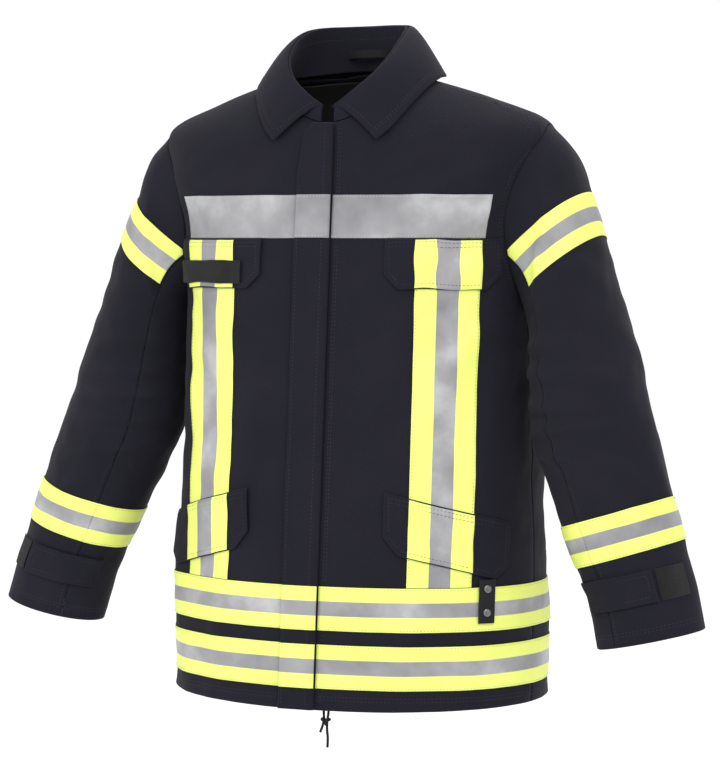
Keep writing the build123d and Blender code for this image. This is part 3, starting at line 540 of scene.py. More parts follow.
def tape_material(name, across, silver_only=False):
    """Reflective tape: silver with soft patches, between two lime edges unless it is silver only."""
    m, t, shader = nodes_of(name)
    uv = node(t, "ShaderNodeTexCoord")
    patches = node(t, "ShaderNodeTexNoise", **{"Scale": 14.0, "Detail": 4.0, "Roughness": 0.55})
    t.links.new(uv.outputs["Object"], patches.inputs["Vector"])
    greys = [(0.3, (0.16, 0.16, 0.17)), (0.52, (0.235, 0.235, 0.245)), (0.75, (0.4, 0.4, 0.41))]
    silver = ramp(t, patches.outputs[0], greys)
    weave = node(t, "ShaderNodeTexNoise", **{"Scale": 900.0, "Detail": 2.0})
    t.links.new(uv.outputs["Object"], weave.inputs["Vector"])
    bump = node(t, "ShaderNodeBump", **{"Strength": 0.12, "Distance": 0.0004})
    t.links.new(weave.outputs[0], bump.inputs["Height"])
    t.links.new(bump.outputs[0], shader.inputs["Normal"])
    shader.inputs["Roughness"].default_value = 0.5
    shader.inputs["Specular IOR Level"].default_value = 0.4
    if silver_only:
        t.links.new(silver, shader.inputs["Base Color"])
        return m
    attribute = node(t, "ShaderNodeAttribute", attribute_name="band")
    lime = ramp(t, patches.outputs[0], [(0.3, (0.6, 0.68, 0.135)), (0.7, (0.66, 0.73, 0.155))])
    low, high = across
    above = node(t, "ShaderNodeMath", operation="GREATER_THAN")
    above.inputs[1].default_value = low
    below = node(t, "ShaderNodeMath", operation="LESS_THAN")
    below.inputs[1].default_value = high
    inside = node(t, "ShaderNodeMath", operation="MULTIPLY")
    t.links.new(attribute.outputs["Fac"], above.inputs[0])
    t.links.new(attribute.outputs["Fac"], below.inputs[0])
    t.links.new(above.outputs[0], inside.inputs[0])
    t.links.new(below.outputs[0], inside.inputs[1])
    mix = node(t, "ShaderNodeMix", data_type="RGBA")
    t.links.new(inside.outputs[0], mix.inputs[0])
    t.links.new(lime, mix.inputs[6])
    t.links.new(silver, mix.inputs[7])
    t.links.new(mix.outputs[2], shader.inputs["Base Color"])
    return m


NAVY = woven("navy_twill", (0.0050, 0.0048, 0.0094), (0.0078, 0.0073, 0.0135))
LINING = woven("black_lining", (0.010, 0.010, 0.012), (0.018, 0.018, 0.02), pitch=500, slant=0)
KNIT = woven("black_knit", (0.008, 0.008, 0.009), (0.014, 0.014, 0.015), pitch=260, slant=0, strength=0.9)
FUZZ = woven(
    "hook_and_loop", (0.004, 0.004, 0.0045), (0.009, 0.009, 0.010),
    rough=1.0, sheen=0.1, pitch=2400, strength=1.0,
)
WEBBING = woven(
    "black_webbing", (0.009, 0.009, 0.010), (0.016, 0.016, 0.018),
    pitch=1400, slant=20, strength=0.4,
)
THREAD = woven("navy_thread", (0.028, 0.027, 0.04), (0.04, 0.038, 0.055), pitch=3000)
PALE_THREAD = woven("pale_thread", (0.5, 0.5, 0.5), (0.62, 0.62, 0.62), pitch=3000)
LIME = tape_material("lime_silver_tape", (1 / 3, 2 / 3))
SILVER = tape_material("silver_tape", (0, 1), True)

METAL, _, _s = nodes_of("nickel")
_s.inputs["Base Color"].default_value = (0.17, 0.17, 0.175, 1)
_s.inputs["Metallic"].default_value = 1.0
_s.inputs["Roughness"].default_value = 0.28
PLASTIC, _, _s = nodes_of("black_plastic")
_s.inputs["Base Color"].default_value = (0.014, 0.014, 0.015, 1)
_s.inputs["Roughness"].default_value = 0.42


def set_band(thing, values):
    """Gives the piece a number per point: 0 at one edge of a tape and 1 at the other."""
    layer = thing.data.attributes.new("band", "FLOAT", "POINT")
    layer.data.foreach_set("value", np.asarray(values, np.float32))


def grid_values(values):
    """Values on a grid, repeated for a cloth piece's outer face, inner face and rim."""
    rows, cols = values.shape
    border = [(0, j) for j in range(cols)] + [(i, cols - 1) for i in range(1, rows)]
    border += [(rows - 1, j) for j in range(cols - 2, -1, -1)] + [(i, 0) for i in range(rows - 2, 0, -1)]
    return np.concatenate([values.ravel(), values.ravel(), np.array([values[i, j] for i, j in border])])


def both(make):
    """Makes the wearer's left piece, side 1, and the right one, side -1."""
    for side, word in ((1, "left"), (-1, "right")):
        HAND[0] = side
        make(side, word)
    HAND[0] = 1


# ---- Stitches: short raised threads along lines on a surface ---------------------------------------
stitch_jobs = {}
hangers = {}  # how the stitches on a hinged piece are placed: by the same function as its cloth, which bakes their transform


def stitch(body_name, points, normals, thread="navy", length=3.2, gap=1.3, width=0.55, side=1):
    """Queues a row of stitches along a line of points (mm)."""
    points, normals = np.asarray(points, float), np.asarray(normals, float)
    if side < 0:
        points, normals = points * [-1, 1, 1], normals * [-1, 1, 1]
    run = np.concatenate([[0], np.cumsum(np.linalg.norm(np.diff(points, axis=0), axis=-1))])
    starts = np.arange(1.0, run[-1] - length - 1.0, length + gap)
    if len(starts) == 0:
        return
    p0, p1, n = (
        np.stack([np.interp(s, run, q[:, k]) for k in range(3)], -1)
        for s, q in ((starts, points), (starts + length, points), (starts + length / 2, normals))
    )
    stitch_jobs.setdefault((body_name, thread), []).append((p0, p1, n, width))


# a stitch is a low ridge on six points: two at its start, two on top and two at its end
STITCH_FACES = ((0, 1, 3, 2), (2, 3, 5, 4), (0, 4, 5, 1), (0, 2, 4), (1, 5, 3))


def make_stitches():
    things = []
    for (body_name, thread), jobs in sorted(stitch_jobs.items()):
        all_points, faces = [], []
        for p0, p1, n, width in jobs:
            d = p1 - p0
            d /= np.linalg.norm(d, axis=-1, keepdims=True) + 1e-9
            s = np.cross(n, d)
            s /= np.linalg.norm(s, axis=-1, keepdims=True) + 1e-9
            mid = (p0 + p1) / 2 + n * width * 0.55
            for i in range(len(p0)):
                k = len(all_points)
                all_points += [
                    p0[i] - s[i] * width * 0.3 - n[i] * 0.15,
                    p0[i] + s[i] * width * 0.3 - n[i] * 0.15,
                    mid[i] - s[i] * width * 0.5,
                    mid[i] + s[i] * width * 0.5,
                    p1[i] - s[i] * width * 0.3 - n[i] * 0.15,
                    p1[i] + s[i] * width * 0.3 - n[i] * 0.15,
                ]
                faces += [[k + m for m in corners] for corners in STITCH_FACES]
        flat = np.zeros((len(all_points), 2))
        thing = new_object(f"stitching_{body_name}_{thread}", np.array(all_points) / 1000, faces, flat)
        thing.data.materials.append(THREAD if thread == "navy" else PALE_THREAD)
        if body_name in hangers:
            hangers[body_name](thing)
        else:
            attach(thing, body_name)
        things.append(thing)
    return things


# ---- The body's panels ------------------------------------------------------------------------------
def side_seam(shift):
    """The side seam from the hem to the armhole, as (angle, place) pairs."""
    z = np.linspace(-735.0, ARMPIT, 30)
    y = SIDE_FOOT_Y + (SIDE_TOP_Y - SIDE_FOOT_Y) * (z - (HEM - 20)) / (ARMPIT - (HEM - 20)) + shift
    a, v = body_solve(y, z)
    v[0] = 0
    return np.stack([a, v], -1)


def hole_part(start, end, count=40):
    turn = np.linspace(start, end, count)
    a = np.interp(np.mod(turn, 360), HOLE_TURN, HOLE_ANGLE)
    v = np.interp(np.mod(turn, 360), HOLE_TURN, HOLE_PLACE)
    return np.stack([a, v], -1)


def line(a0, v0, a1, v1, count=40):
    return np.stack([np.linspace(a0, a1, count), np.linspace(v0, v1, count)], -1)


FRONT_TURN, BACK_TURN = 38.0, 328.3
hole_front = hole_part(180, FRONT_TURN)
hole_back = hole_part(180, BACK_TURN)
hole_top = hole_part(FRONT_TURN + 360, BACK_TURN)
seam_v = np.linspace(hole_front[-1, 1], 8, 30)
seam_a = bisect(lambda a: body(a, seam_v)[..., 1] < YOKE_FRONT, np.full(30, 15.0), np.full(30, 165.0))
yoke_front = np.stack([seam_a, seam_v], -1)
back_a = np.linspace(hole_back[-1, 0], 158, 24)
back_v = bisect(lambda v: body(back_a, v)[..., 1] > YOKE_BACK, np.full(24, 4.0), np.full(24, 8.0))
yoke_back = np.stack([back_a, back_v], -1)
centre_v = np.linspace(0, 8, 60)
centre = np.stack([angle_at(np.full(60, 6.0), centre_v), centre_v], -1)
seam_front, seam_back = side_seam(-0.25), side_seam(0.25)

front_bottom = line(centre[0, 0], 0, seam_front[0, 0], 0)
neck_front = line(centre[-1, 0], 8, yoke_front[-1, 0], 8)
front_top = np.vstack([neck_front, yoke_front[::-1][1:]])
front_grid = coons(front_bottom, front_top, centre, np.vstack([seam_front, hole_front[1:]]), 170, 74)

back_bottom = line(seam_back[0, 0], 0, 360 - seam_back[0, 0], 0, 90)
back_left = np.vstack([seam_back, hole_back[1:]])
back_right = back_left * [-1, 1] + [360, 0]
whole_a = np.linspace(hole_back[-1, 0], 360 - hole_back[-1, 0], 70)
whole_v = bisect(lambda v: body(whole_a, v)[..., 1] > YOKE_BACK, np.full(70, 4.0), np.full(70, 8.0))
back_top = np.stack([whole_a, whole_v], -1)
back_grid = coons(back_bottom, back_top, back_left, back_right, 150, 120)

yoke_top = line(yoke_front[-1, 0], 8, 158, 8)
yoke_grid = coons(hole_top, yoke_top, yoke_front, yoke_back, 40, 30)


def panels(side, word):
    front = cloth(f"front_{word}", on_body, *front_grid, 0, SHELL, side, NAVY)
    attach(front, "coat_body")
    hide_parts(f"front_panel_{word}")
    shoulder = cloth(f"shoulder_{word}", on_body, *yoke_grid, 0, SHELL, side, NAVY)
    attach(shoulder, "coat_body")
    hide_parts(f"shoulder_yoke_{word}")


both(panels)
back = cloth("back", on_body, *back_grid, 0, SHELL, 1, NAVY)
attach(back, "coat_body")
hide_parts("back_panel")


def quilted(a, v, height):
    """The lining's surface: a smooth shape under the coat with quilted diamonds."""
    p = body(a, v)
    s, t = p[..., 0] + p[..., 1] * 0.6, p[..., 2]
    diamonds = np.abs(np.sin((s + t) / 34 * math.pi)) ** 0.5 * np.abs(np.sin((s - t) / 34 * math.pi)) ** 0.5
    return p + normal_of(body, a, v, 0.5, 0.01, 0, NECK) * (height + diamonds * 0.9 - 0.9)[..., None]


liner_v = np.linspace(0.24, 7.75, 130)
liner_a = np.linspace(0, 1, 200)
start_a = angle_at(np.full(130, 24.0), liner_v)
la = start_a[:, None] + (360 - 2 * start_a[:, None]) * liner_a[None]
lv = np.broadcast_to(liner_v[:, None], la.shape)
liner = cloth("lining", quilted, la, lv, -4.6, 1.6, 1, LINING)
for face in [
    f.index for f in liner.data.polygons
    if ((f.center.y * 1000 - ARMHOLE[0]) / 78) ** 2 + ((f.center.z * 1000 - ARMHOLE[1]) / 115) ** 2 < 1
    and abs(f.center.x) > 0.1
][::-1]:
    liner.data.polygons[face].hide = True


def drop_hidden(thing):
    """Removes the faces marked hidden, and the points only they used."""
    import bmesh

    bm = bmesh.new()
    bm.from_mesh(thing.data)
    bmesh.ops.delete(bm, geom=[f for f in bm.faces if f.hide], context="FACES")
    bm.to_mesh(thing.data)
    bm.free()


drop_hidden(liner)
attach(liner, "coat_body")
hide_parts("body_liner")

# ---- Collar ------------------------------------------------------------------------------------------
def collar_surface(base, low_b, high_b):
    def at(a, b, height):
        def bowed(a, b):
            p = base(a, b)
            wave = 0.8 * np.sin(p[..., 0] / 19 + 1) * np.sin(p[..., 2] / 23) * np.clip(b, 0, 1)
            n = normal_of(base, a, b, 0.02, 0.02, low_b, high_b)
            return p + n * wave[..., None]

        n = normal_of(bowed, a, b, 0.02, 0.02, low_b, high_b)
        return bowed(a, b) + n * np.asarray(height)[..., None]

    return at


fall_at = collar_surface(lambda a, b: collar_fall(a, 1 - b), 0, 1)
stand_at = collar_surface(collar_stand, 0, 1)
ca, cb = np.meshgrid(np.linspace(0.02, 15.98, 160), np.linspace(0, 1, 34))
fall_piece = cloth("collar_fall", fall_at, ca, cb, 0, 2.6, 1, NAVY)
stand_piece = cloth("collar_stand", stand_at, ca * 0.98 + 0.16, cb, 0, 2.6, 1, NAVY)
for p, n in ((fall_piece, "collar_fall"), (stand_piece, "collar_stand")):
    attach(p, "coat_body")
    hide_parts(n)


def line_on(surface, a, b, height):
    """Points and normals along a line on any surface."""
    a, b = np.broadcast_arrays(np.asarray(a, float), np.asarray(b, float))
    p = surface(a, b, np.full(a.shape, float(height)))
    return p, surface(a, b, np.full(a.shape, float(height) + 1)) - p


for inset in (0.075, 0.10):
    stitch("coat_body", *line_on(fall_at, np.linspace(0.25, 15.75, 300), inset, 0.0))
for end in (0.28, 15.72):
    stitch("coat_body", *line_on(fall_at, end, np.linspace(0.08, 0.97, 40), 0.0))
stitch("coat_body", *line_on(stand_at, np.linspace(0.6, 15.4, 240), 0.72, -2.6))

# ---- Sleeves -------------------------------------------------------------------------------------------
SLEEVE_AROUND = np.linspace(SLEEVE_SEAM + 0.01, SLEEVE_SEAM + 359.99, 150)


def sleeve_pieces(side, word):
    def at(a, w, h):
        return on_sleeve(a, w, h, side)

    upper_w, lower_w = np.linspace(0.0, ELBOW, 78), np.linspace(ELBOW, CUFF, 84)
    ua, uw = np.meshgrid(SLEEVE_AROUND, upper_w)
    wa, ww = np.meshgrid(SLEEVE_AROUND, lower_w)
    upper = cloth(f"sleeve_upper_{word}_cloth", at, ua, uw, 0, 3.0, side, NAVY, open_row=-1)
    lower = cloth(f"sleeve_lower_{word}_cloth", at, wa, ww, 0, 3.0, side, NAVY, open_row=0)
    join_normals(upper, lower)
    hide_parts(f"sleeve_upper_{word}")
    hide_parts(f"sleeve_lower_{word}")
    bend_upper(upper, side, word)
    bend_lower(lower, side, word)

    # tapes, between two sloping planes
    for label, top_x, top_z, slope, low_w, high_w in (
        ("upper", 284, -146.0, 40.0, 0.14, ELBOW - 0.3),
        ("lower", 395, -490.0, 16.8, 6.4, CUFF - 0.4),
    ):
        rise = math.tan(math.radians(slope))
        top = top_z + (440 - top_x) * rise
        deep = 50 / math.cos(math.radians(slope))

        def depth_at(a, w):
            p = sleeve(a, w)
            return top + (p[..., 0] - 440) * rise - p[..., 2]

        if label == "upper":
            spread_a = np.linspace(-116, 116, 120)
        else:
            spread_a = SLEEVE_AROUND
        count = len(spread_a)
        edges = [
            bisect(lambda w, d=d: depth_at(spread_a, w) < d, np.full(count, low_w), np.full(count, high_w))
            for d in (0.0, deep)
        ]
        keep = edges[1] > low_w + 0.08
        spread_a, edges = spread_a[keep], [e[keep] for e in edges]
        u = np.linspace(1, 0, 16)[:, None]
        grid_w = edges[0][None] * (1 - u) + edges[1][None] * u
        grid_a = np.broadcast_to(spread_a[None], grid_w.shape)
        grid_w = grid_w[::-1]
        tape = cloth(f"sleeve_tape_{label}_{word}_strip", at, grid_a, grid_w, LIFT + TAPE, TAPE, side, LIME)
        set_band(tape, grid_values(np.clip(depth_at(grid_a, grid_w) / deep, 0, 1)))
        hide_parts(f"sleeve_tape_{label}_{word}")
        (bend_upper if label == "upper" else bend_lower)(tape, side, word)
        for share in (0.04, 0.96):
            w = edges[0] * (1 - share) + edges[1] * share
            part = f"sleeve_{label}_{word}"
            p, n = line_on(at, spread_a, w, LIFT + TAPE)
            if label == "lower":
                stitch(part, p, n, "navy", 2.6, 1.6, 0.45, side)


def join_normals(upper, lower):
    """Makes the two sleeve pieces shade as one where they meet."""
    for thing in (upper, lower):
        thing.data.update()
    meeting = {}
    for thing in (upper, lower):
        for v in thing.data.vertices:
            key = tuple(round(c * 20000) for c in v.co)
            meeting.setdefault(key, []).append(v.normal.copy())
    for thing in (upper, lower):
        normals = []
        for v in thing.data.vertices:
            key = tuple(round(c * 20000) for c in v.co)
            total = Vector((0, 0, 0))
            for n in meeting[key]:
                total += n
            normals.append(total.normalized())
        thing.data.normals_split_custom_set_from_vertices(normals)


def bend_upper(thing, side, word):
    """Bakes the piece's transform into its mesh."""
    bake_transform(thing)


elbow_ring = smooth(SLEEVE_RINGS, np.array([ELBOW]))[0]
elbow_across = np.array([elbow_ring[0] - elbow_ring[2], 0, elbow_ring[1] - elbow_ring[3]])
elbow_across /= np.linalg.norm(elbow_across)


def bend_lower(thing, side, word):
    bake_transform(thing)


both(sleeve_pieces)


def cuff_pieces(side, word):
    def at(a, w, h):
        return on_sleeve(a, w, h, side)

    low, high = 10.29, 9.62
    part = f"sleeve_lower_{word}"
    la, lw = np.meshgrid(np.linspace(18, 56, 24), np.linspace(high, low, 18))
    loop = cloth(f"cuff_loop_{word}_patch", at, la, lw, LIFT + 1.0, 1.0, side, FUZZ)
    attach(loop, part)
    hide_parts(f"cuff_loop_{word}")
    ta, tw = np.meshgrid(np.linspace(60, 150, 60), np.linspace(high, low, 20))
    sewn = np.clip((ta - 142) / 8, 0, 1)
    height = MOVE_GAP + FLAP_THICK - sewn**2 * 1.6 + 0.5 * np.sin(ta / 14)
    tab = cloth(f"cuff_tab_{word}_cloth", at, ta, tw, height, FLAP_THICK, side, NAVY)
    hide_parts(f"cuff_tab_{word}")
    hinge = on_sleeve(np.array([150.0, 142.0]), np.array([9.95, 9.95]), np.array([4.1, 4.1]), side)

    def hang_tab(thing):
        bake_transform(thing)

    hang_tab(tab)
    hangers[f"cuff_tab_{word}"] = hang_tab
    for w in (high + 0.11, low - 0.11):
        stitch(f"cuff_tab_{word}", *line_on(at, np.linspace(66, 138, 60), w, 4.1 + 0.1), side=side)
    across = np.linspace(high + 0.12, low - 0.12, 14)
    stitch(f"cuff_tab_{word}", *line_on(at, 66.0, across, 4.1 + 0.1), side=side)
    for w in (10.74, 10.80):
        stitch(part, *line_on(at, SLEEVE_AROUND, w, 0.0), side=side)
    stitch(part, *line_on(at, SLEEVE_SEAM - 5, np.linspace(7.3, 10.9, 120), 0.0), side=side)
    ka, kw = np.meshgrid(np.linspace(SLEEVE_SEAM + 1, SLEEVE_SEAM + 359, 260), np.linspace(9.2, 10.7, 20))
    rib = 0.7 * np.sin(np.radians(ka) * 65)


    def smooth_sleeve(a, w, h):
        return sleeve(a, w) + normal_of(sleeve, a, w, 0.5, 0.01, 0, CUFF) * h[..., None]

    knit = cloth(f"wristlet_{word}_knit", smooth_sleeve, ka, kw, -7.2 + rib, 2.2, side, KNIT)
    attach(knit, part)
    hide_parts(f"wristlet_{word}")


both(cuff_pieces)


# ---- Tapes on the body ---------------------------------------------------------------------------------
def level_tape(name, cad, start, end, top, bottom, cols, material, side=1):
    z = np.linspace(bottom, top, 16)
    a = np.linspace(start, end, cols)
    ga, gz = np.meshgrid(a, z)
    gv = place_at(ga, gz)
    tape = cloth(name, on_body, ga, gv, LIFT + TAPE, TAPE, side, material)
    set_band(tape, grid_values(np.broadcast_to(((gz - bottom) / (top - bottom)), ga.shape)))
    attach(tape, "coat_body")
    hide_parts(cad)
    thread = "pale" if material is SILVER else "navy"
    for inset in (2.0, top - bottom - 2.0):
        v = place_at(a, np.full(cols, bottom + inset))
        p, n = line_on(on_body, a, v, LIFT + TAPE)
        stitch("coat_body", p, n, thread, 2.4, 1.6, 0.45)
    return tape


chest_v = place_at(np.array([0.0]), np.array([-174.0]))
chest_arcs = (FLAP_SEAM + 0.6, CHEST_TAPE_END, FLAP_FREE + 2)
chest_a = [float(angle_at(np.array([arc]), chest_v)[0]) for arc in chest_arcs]
for cad, start, end, cols in (
    ("chest_tape_left", chest_a[0], chest_a[1], 70),
    ("chest_tape_right", -chest_a[1], chest_a[2], 60),
    ("back_tape", 136, 224, 90),
):
    level_tape(f"{cad}_strip", cad, start, end, CHEST_TOP, CHEST_BOTTOM, cols, SILVER)
for word, (top, bottom) in zip(("upper", "lower"), HEM_TAPES):
    v = place_at(np.array([0.0]), np.array([bottom]))
    a0 = float(angle_at(np.array([FLAP_SEAM + 0.6]), v)[0])
    a1 = 360 + float(angle_at(np.array([FLAP_FREE + 2]), v)[0])
    level_tape(f"hem_tape_{word}_strip", f"hem_tape_{word}", a0, a1, top, bottom, 260, LIME)


def patch(arcs, tops, bottoms, cols, rows, corner=0.0):
    """Grids of (angle, place) and arcs over the front; corner cuts the lower corners off."""
    arc = np.linspace(arcs[0], arcs[1], cols)
    g = (arc - arcs[0]) / (arcs[1] - arcs[0])
    top = tops[0] + (tops[1] - tops[0]) * g
    bottom = bottoms[0] + (bottoms[1] - bottoms[0]) * g
    if corner:
        bottom = bottom + np.maximum(0, corner - (arc - arcs[0])) + np.maximum(0, corner - (arcs[1] - arc))
    z = bottom[None] + (top - bottom)[None] * np.linspace(0, 1, rows)[:, None]
    ga = np.broadcast_to(arc[None], z.shape)
    a, v = on_front(ga, z)
    return a, v, ga, z


def upright_tapes(side, word):
    a, v, arc, z = patch(UPRIGHT, (CHEST_BOTTOM - SEAM,) * 2, (HEM_TAPES[0][0] + SEAM,) * 2, 18, 84)
    tape = cloth(f"upright_tape_{word}_strip", on_body, a, v, LIFT + TAPE, TAPE, side, LIME)
    set_band(tape, grid_values((arc - UPRIGHT[0]) / (UPRIGHT[1] - UPRIGHT[0])))
    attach(tape, "coat_body")
    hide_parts(f"upright_tape_{word}")
    for arc_at in (UPRIGHT[0] + 2, UPRIGHT[1] - 2):
        za = np.linspace(CHEST_BOTTOM - 2, HEM_TAPES[0][0] + 2, 100)
        aa, vv = on_front(np.full(100, arc_at), za)
        stitch("coat_body", *line_on(on_body, aa, vv, LIFT + TAPE), "navy", 2.4, 1.6, 0.45, side)


both(upright_tapes)


# ---- Pocket flaps ---------------------------------------------------------------------------------------
def flap_z(arcs, tops, arc, down):
    return tops[0] + (tops[1] - tops[0]) * (arc - arcs[0]) / (arcs[1] - arcs[0]) - down


def flap(label, arcs, tops, drop, side, word):
    body_name = f"{label}_flap_{word}"
    a, v, arc, z = patch(arcs, tops, (tops[0] - drop, tops[1] - drop), 60, 34, CORNER)
    up = z - flap_z(arcs, tops, arc, 0)
    sewn = np.clip(1 + up / 7, 0, 1) ** 2
    height = MOVE_GAP + FLAP_THICK - 1.5 * sewn + 0.5 * np.sin(arc / 17 + side) * np.clip(-up / 30, 0, 1)
    cover = cloth(f"{body_name}_cloth", on_body, a, v, height, FLAP_THICK, side, NAVY)
    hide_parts(body_name)
    middle = (arcs[0] + arcs[1]) / 2
    hinge_z = [flap_z(arcs, tops, middle, down) for down in (0, 14)]
    ends = on_front(np.array([middle, middle]), np.array(hinge_z))
    start, end = on_body(*ends, np.array([4.1, 4.1])) / 1000 * [side, 1, 1]

    def hang(thing):
        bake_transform(thing)

    hang(cover)
    hangers[body_name] = hang
    tape_tops = tuple(flap_z(arcs, tops, u, 1.5) for u in UPRIGHT)
    tape_feet = tuple(flap_z(arcs, tops, u, drop - 1.0) for u in UPRIGHT)
    ta, tv, tarc, tz = patch(UPRIGHT, tape_tops, tape_feet, 18, 22)
    over = MOVE_GAP + FLAP_THICK + LIFT + TAPE
    tup = tz - flap_z(arcs, tops, tarc, 0)
    th = over - 1.5 * np.clip(1 + tup / 7, 0, 1) ** 2
    th = th + 0.5 * np.sin(tarc / 17 + side) * np.clip(-tup / 30, 0, 1)
    tape = cloth(f"{label}_flap_tape_{word}_strip", on_body, ta, tv, th, TAPE, side, LIME)
    set_band(tape, grid_values((tarc - UPRIGHT[0]) / (UPRIGHT[1] - UPRIGHT[0])))
    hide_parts(f"{label}_flap_tape_{word}")
    hang(tape)
    outline = [(arcs[0] + 6, 3), (arcs[0] + 6, drop - CORNER - 3), (arcs[0] + CORNER + 3, drop - 6)]
    outline += [(arcs[1] - CORNER - 3, drop - 6), (arcs[1] - 6, drop - CORNER - 3), (arcs[1] - 6, 3)]
    for (a0, d0), (a1, d1) in zip(outline, outline[1:]):
        s_arc = np.linspace(a0, a1, 40)
        s_z = flap_z(arcs, tops, s_arc, np.linspace(d0, d1, 40))
        on_tape = (s_arc > UPRIGHT[0]) & (s_arc < UPRIGHT[1])
        aa, vv = on_front(s_arc, s_z)
        drop_here = flap_z(arcs, tops, s_arc, 0) - s_z
        h = np.where(on_tape, over, over - LIFT - TAPE)
        h = h + 0.5 * np.sin(s_arc / 17 + side) * np.clip(drop_here / 30, 0, 1)
        p = on_body(aa, vv, h)
        stitch(body_name, p, on_body(aa, vv, h + 1) - p, side=side)
    for down in (4.5, 9.5):
        s_arc = np.linspace(arcs[0] + 7, arcs[1] - 7, 60)
        s_z = flap_z(arcs, tops, s_arc, down)
        on_tape = (s_arc > UPRIGHT[0]) & (s_arc < UPRIGHT[1])
        aa, vv = on_front(s_arc, s_z)
        h = np.where(on_tape, over, over - LIFT - TAPE) - (1.5 * max(0, 1 - down / 7) ** 2)
        p = on_body(aa, vv, h)
        stitch(body_name, p, on_body(aa, vv, h + 1) - p, side=side)

    inner = (arcs[0] + 6, arcs[1] - 6)
    mouth = (flap_z(arcs, tops, inner[0], 8), flap_z(arcs, tops, inner[1], 8))
    ba, bv, _, _ = patch(inner, mouth, (mouth[0] - drop * 1.7,) * 2, 30, 24)
    bag = cloth(f"{label}_pocket_bag_{word}_cloth", on_body, ba, bv, -SHELL - 0.7, 1.0, side, LINING)
    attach(bag, "coat_body")
    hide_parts(f"{label}_pocket_bag_{word}")
    slit = (arcs[0] + 14, arcs[1] - 14)
    tops_s = tuple(flap_z(arcs, tops, s, 14) for s in slit)
    ma, mv, _, _ = patch(slit, tops_s, tuple(t - 4 for t in tops_s), 50, 5)
    mouth_piece = cloth(f"{label}_pocket_mouth_{word}", on_body, ma, mv, LIFT + TAPE + 0.45, 0.4, side, LINING)
    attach(mouth_piece, "coat_body")
    return hang


def flaps(side, word):
    flap("lower", LOW_FLAP, LOW_TOPS, LOW_DROP, side, word)
    hang = flap("chest", CHEST_FLAP, (CHEST_BOTTOM - SEAM,) * 2, CHEST_DROP, side, word)
    if side < 0:
        na, nv, narc, nz = patch((101.0, 211.0), (-225.0, -225.0), (-252.0, -252.0), 70, 16)
        lift = MOVE_GAP + FLAP_THICK + LIFT + TAPE + LIFT + 1.5
        nh = lift + 0.5 * np.sin(narc / 17 + side) * np.clip(-(nz + 199.5) / 30, 0, 1)
        name = cloth("name_strip_patch", on_body, na, nv, nh, 1.5, side, FUZZ)
        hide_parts("name_strip")
        hang(name)


both(flaps)

# ---- Storm flap -------------------------------------------------------------------------------------------
down = (ZIP_FOOT - ZIP_TOP) / np.linalg.norm(ZIP_FOOT - ZIP_TOP)
FRONT_LENGTH = float(np.linalg.norm(ZIP_FOOT - ZIP_TOP))
outward = np.cross(down, [1, 0, 0])
outward = outward * (-1 if outward[1] > 0 else 1)


def on_strip(x, along, height):
    """A point over the straight centre front; along is measured up from the zip's top."""
    x, along, height = np.broadcast_arrays(x, along, height)
    across = np.array([1.0, 0, 0]) * x[..., None]
    return ZIP_TOP + across - down * along[..., None] + outward * height[..., None]


def strip_height(x, along):
    """How high the storm flap's outer face lies: down at its seam, and a little wavy at its free edge."""
    seam = np.clip((x - 3) / 7, 0, 1)
    free = np.clip((-x - 6) / 27, 0, 1)
    wave = 0.9 * np.sin(along / 41) + 0.6 * np.sin(along / 23 + 1.3)
    return FLAP_GAP + 2.4 - 3.2 * seam**2 + free**2 * wave


sx = np.concatenate([np.linspace(FLAP_SEAM, 2, 10), np.linspace(0, FLAP_FREE, 24)])[::-1]
top_line = np.interp(
    sx,
    [FLAP_FREE, FLAP_FREE + 8, FLAP_SEAM - 25, FLAP_SEAM],
    [FLAP_TOP - 60, FLAP_TOP - 10, FLAP_TOP, FLAP_TOP],
)
u = np.linspace(0, 1, 220)[:, None]
sl = -FRONT_LENGTH * (1 - u) + top_line[None] * u
sxx = np.broadcast_to(sx[None], sl.shape)
storm = cloth("storm_flap_cloth", on_strip, sxx, sl, strip_height(sxx, sl), 2.2, 1, NAVY)
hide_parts("storm_flap")


def hang_storm(thing):
    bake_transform(thing)


hang_storm(storm)
hangers["storm_flap"] = hang_storm
for top, bottom in ((CHEST_TOP, CHEST_BOTTOM), *HEM_TAPES):
    l0, l1 = ((ZIP_TOP[2] - z) / down[2] for z in (bottom, top))
    tx, tl = np.meshgrid(np.linspace(FLAP_FREE + 0.6, FLAP_SEAM - 0.1, 26), np.linspace(l0, l1, 16))
    silver = top == CHEST_TOP
    name, finish = f"storm_tape_{abs(int(top))}", SILVER if silver else LIME
    part = cloth(name, on_strip, tx, tl, strip_height(tx, tl) + LIFT + TAPE, TAPE, 1, finish)
    set_band(part, grid_values((tl - l0) / (l1 - l0)))
    hang_storm(part)
    for inset in (2.0, l1 - l0 - 2.0):
        x = np.linspace(FLAP_FREE + 1, FLAP_SEAM - 4, 40)
        along = np.full(40, l0 + inset)
        h = strip_height(x, along) + LIFT + TAPE
        p = on_strip(x, along, h)
        stitch("storm_flap", p, np.broadcast_to(outward, p.shape), "pale" if silver else "navy", 2.4, 1.6, 0.45)
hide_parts("storm_flap_tape")


def strip_stitch(body_name, x, along, lift=0.0):
    h = strip_height(np.asarray(x, float), np.asarray(along, float)) + lift
    p = on_strip(np.asarray(x, float), np.asarray(along, float), h)
    stitch(body_name, p, np.broadcast_to(outward, p.shape))


run = np.linspace(-FRONT_LENGTH + 5, FLAP_TOP - 4, 400)
strip_stitch("storm_flap", np.full(400, 1.0), run)
run = np.linspace(-FRONT_LENGTH + 5, FLAP_TOP - 70, 400)
strip_stitch("storm_flap", np.full(400, FLAP_FREE + 4.0), run)
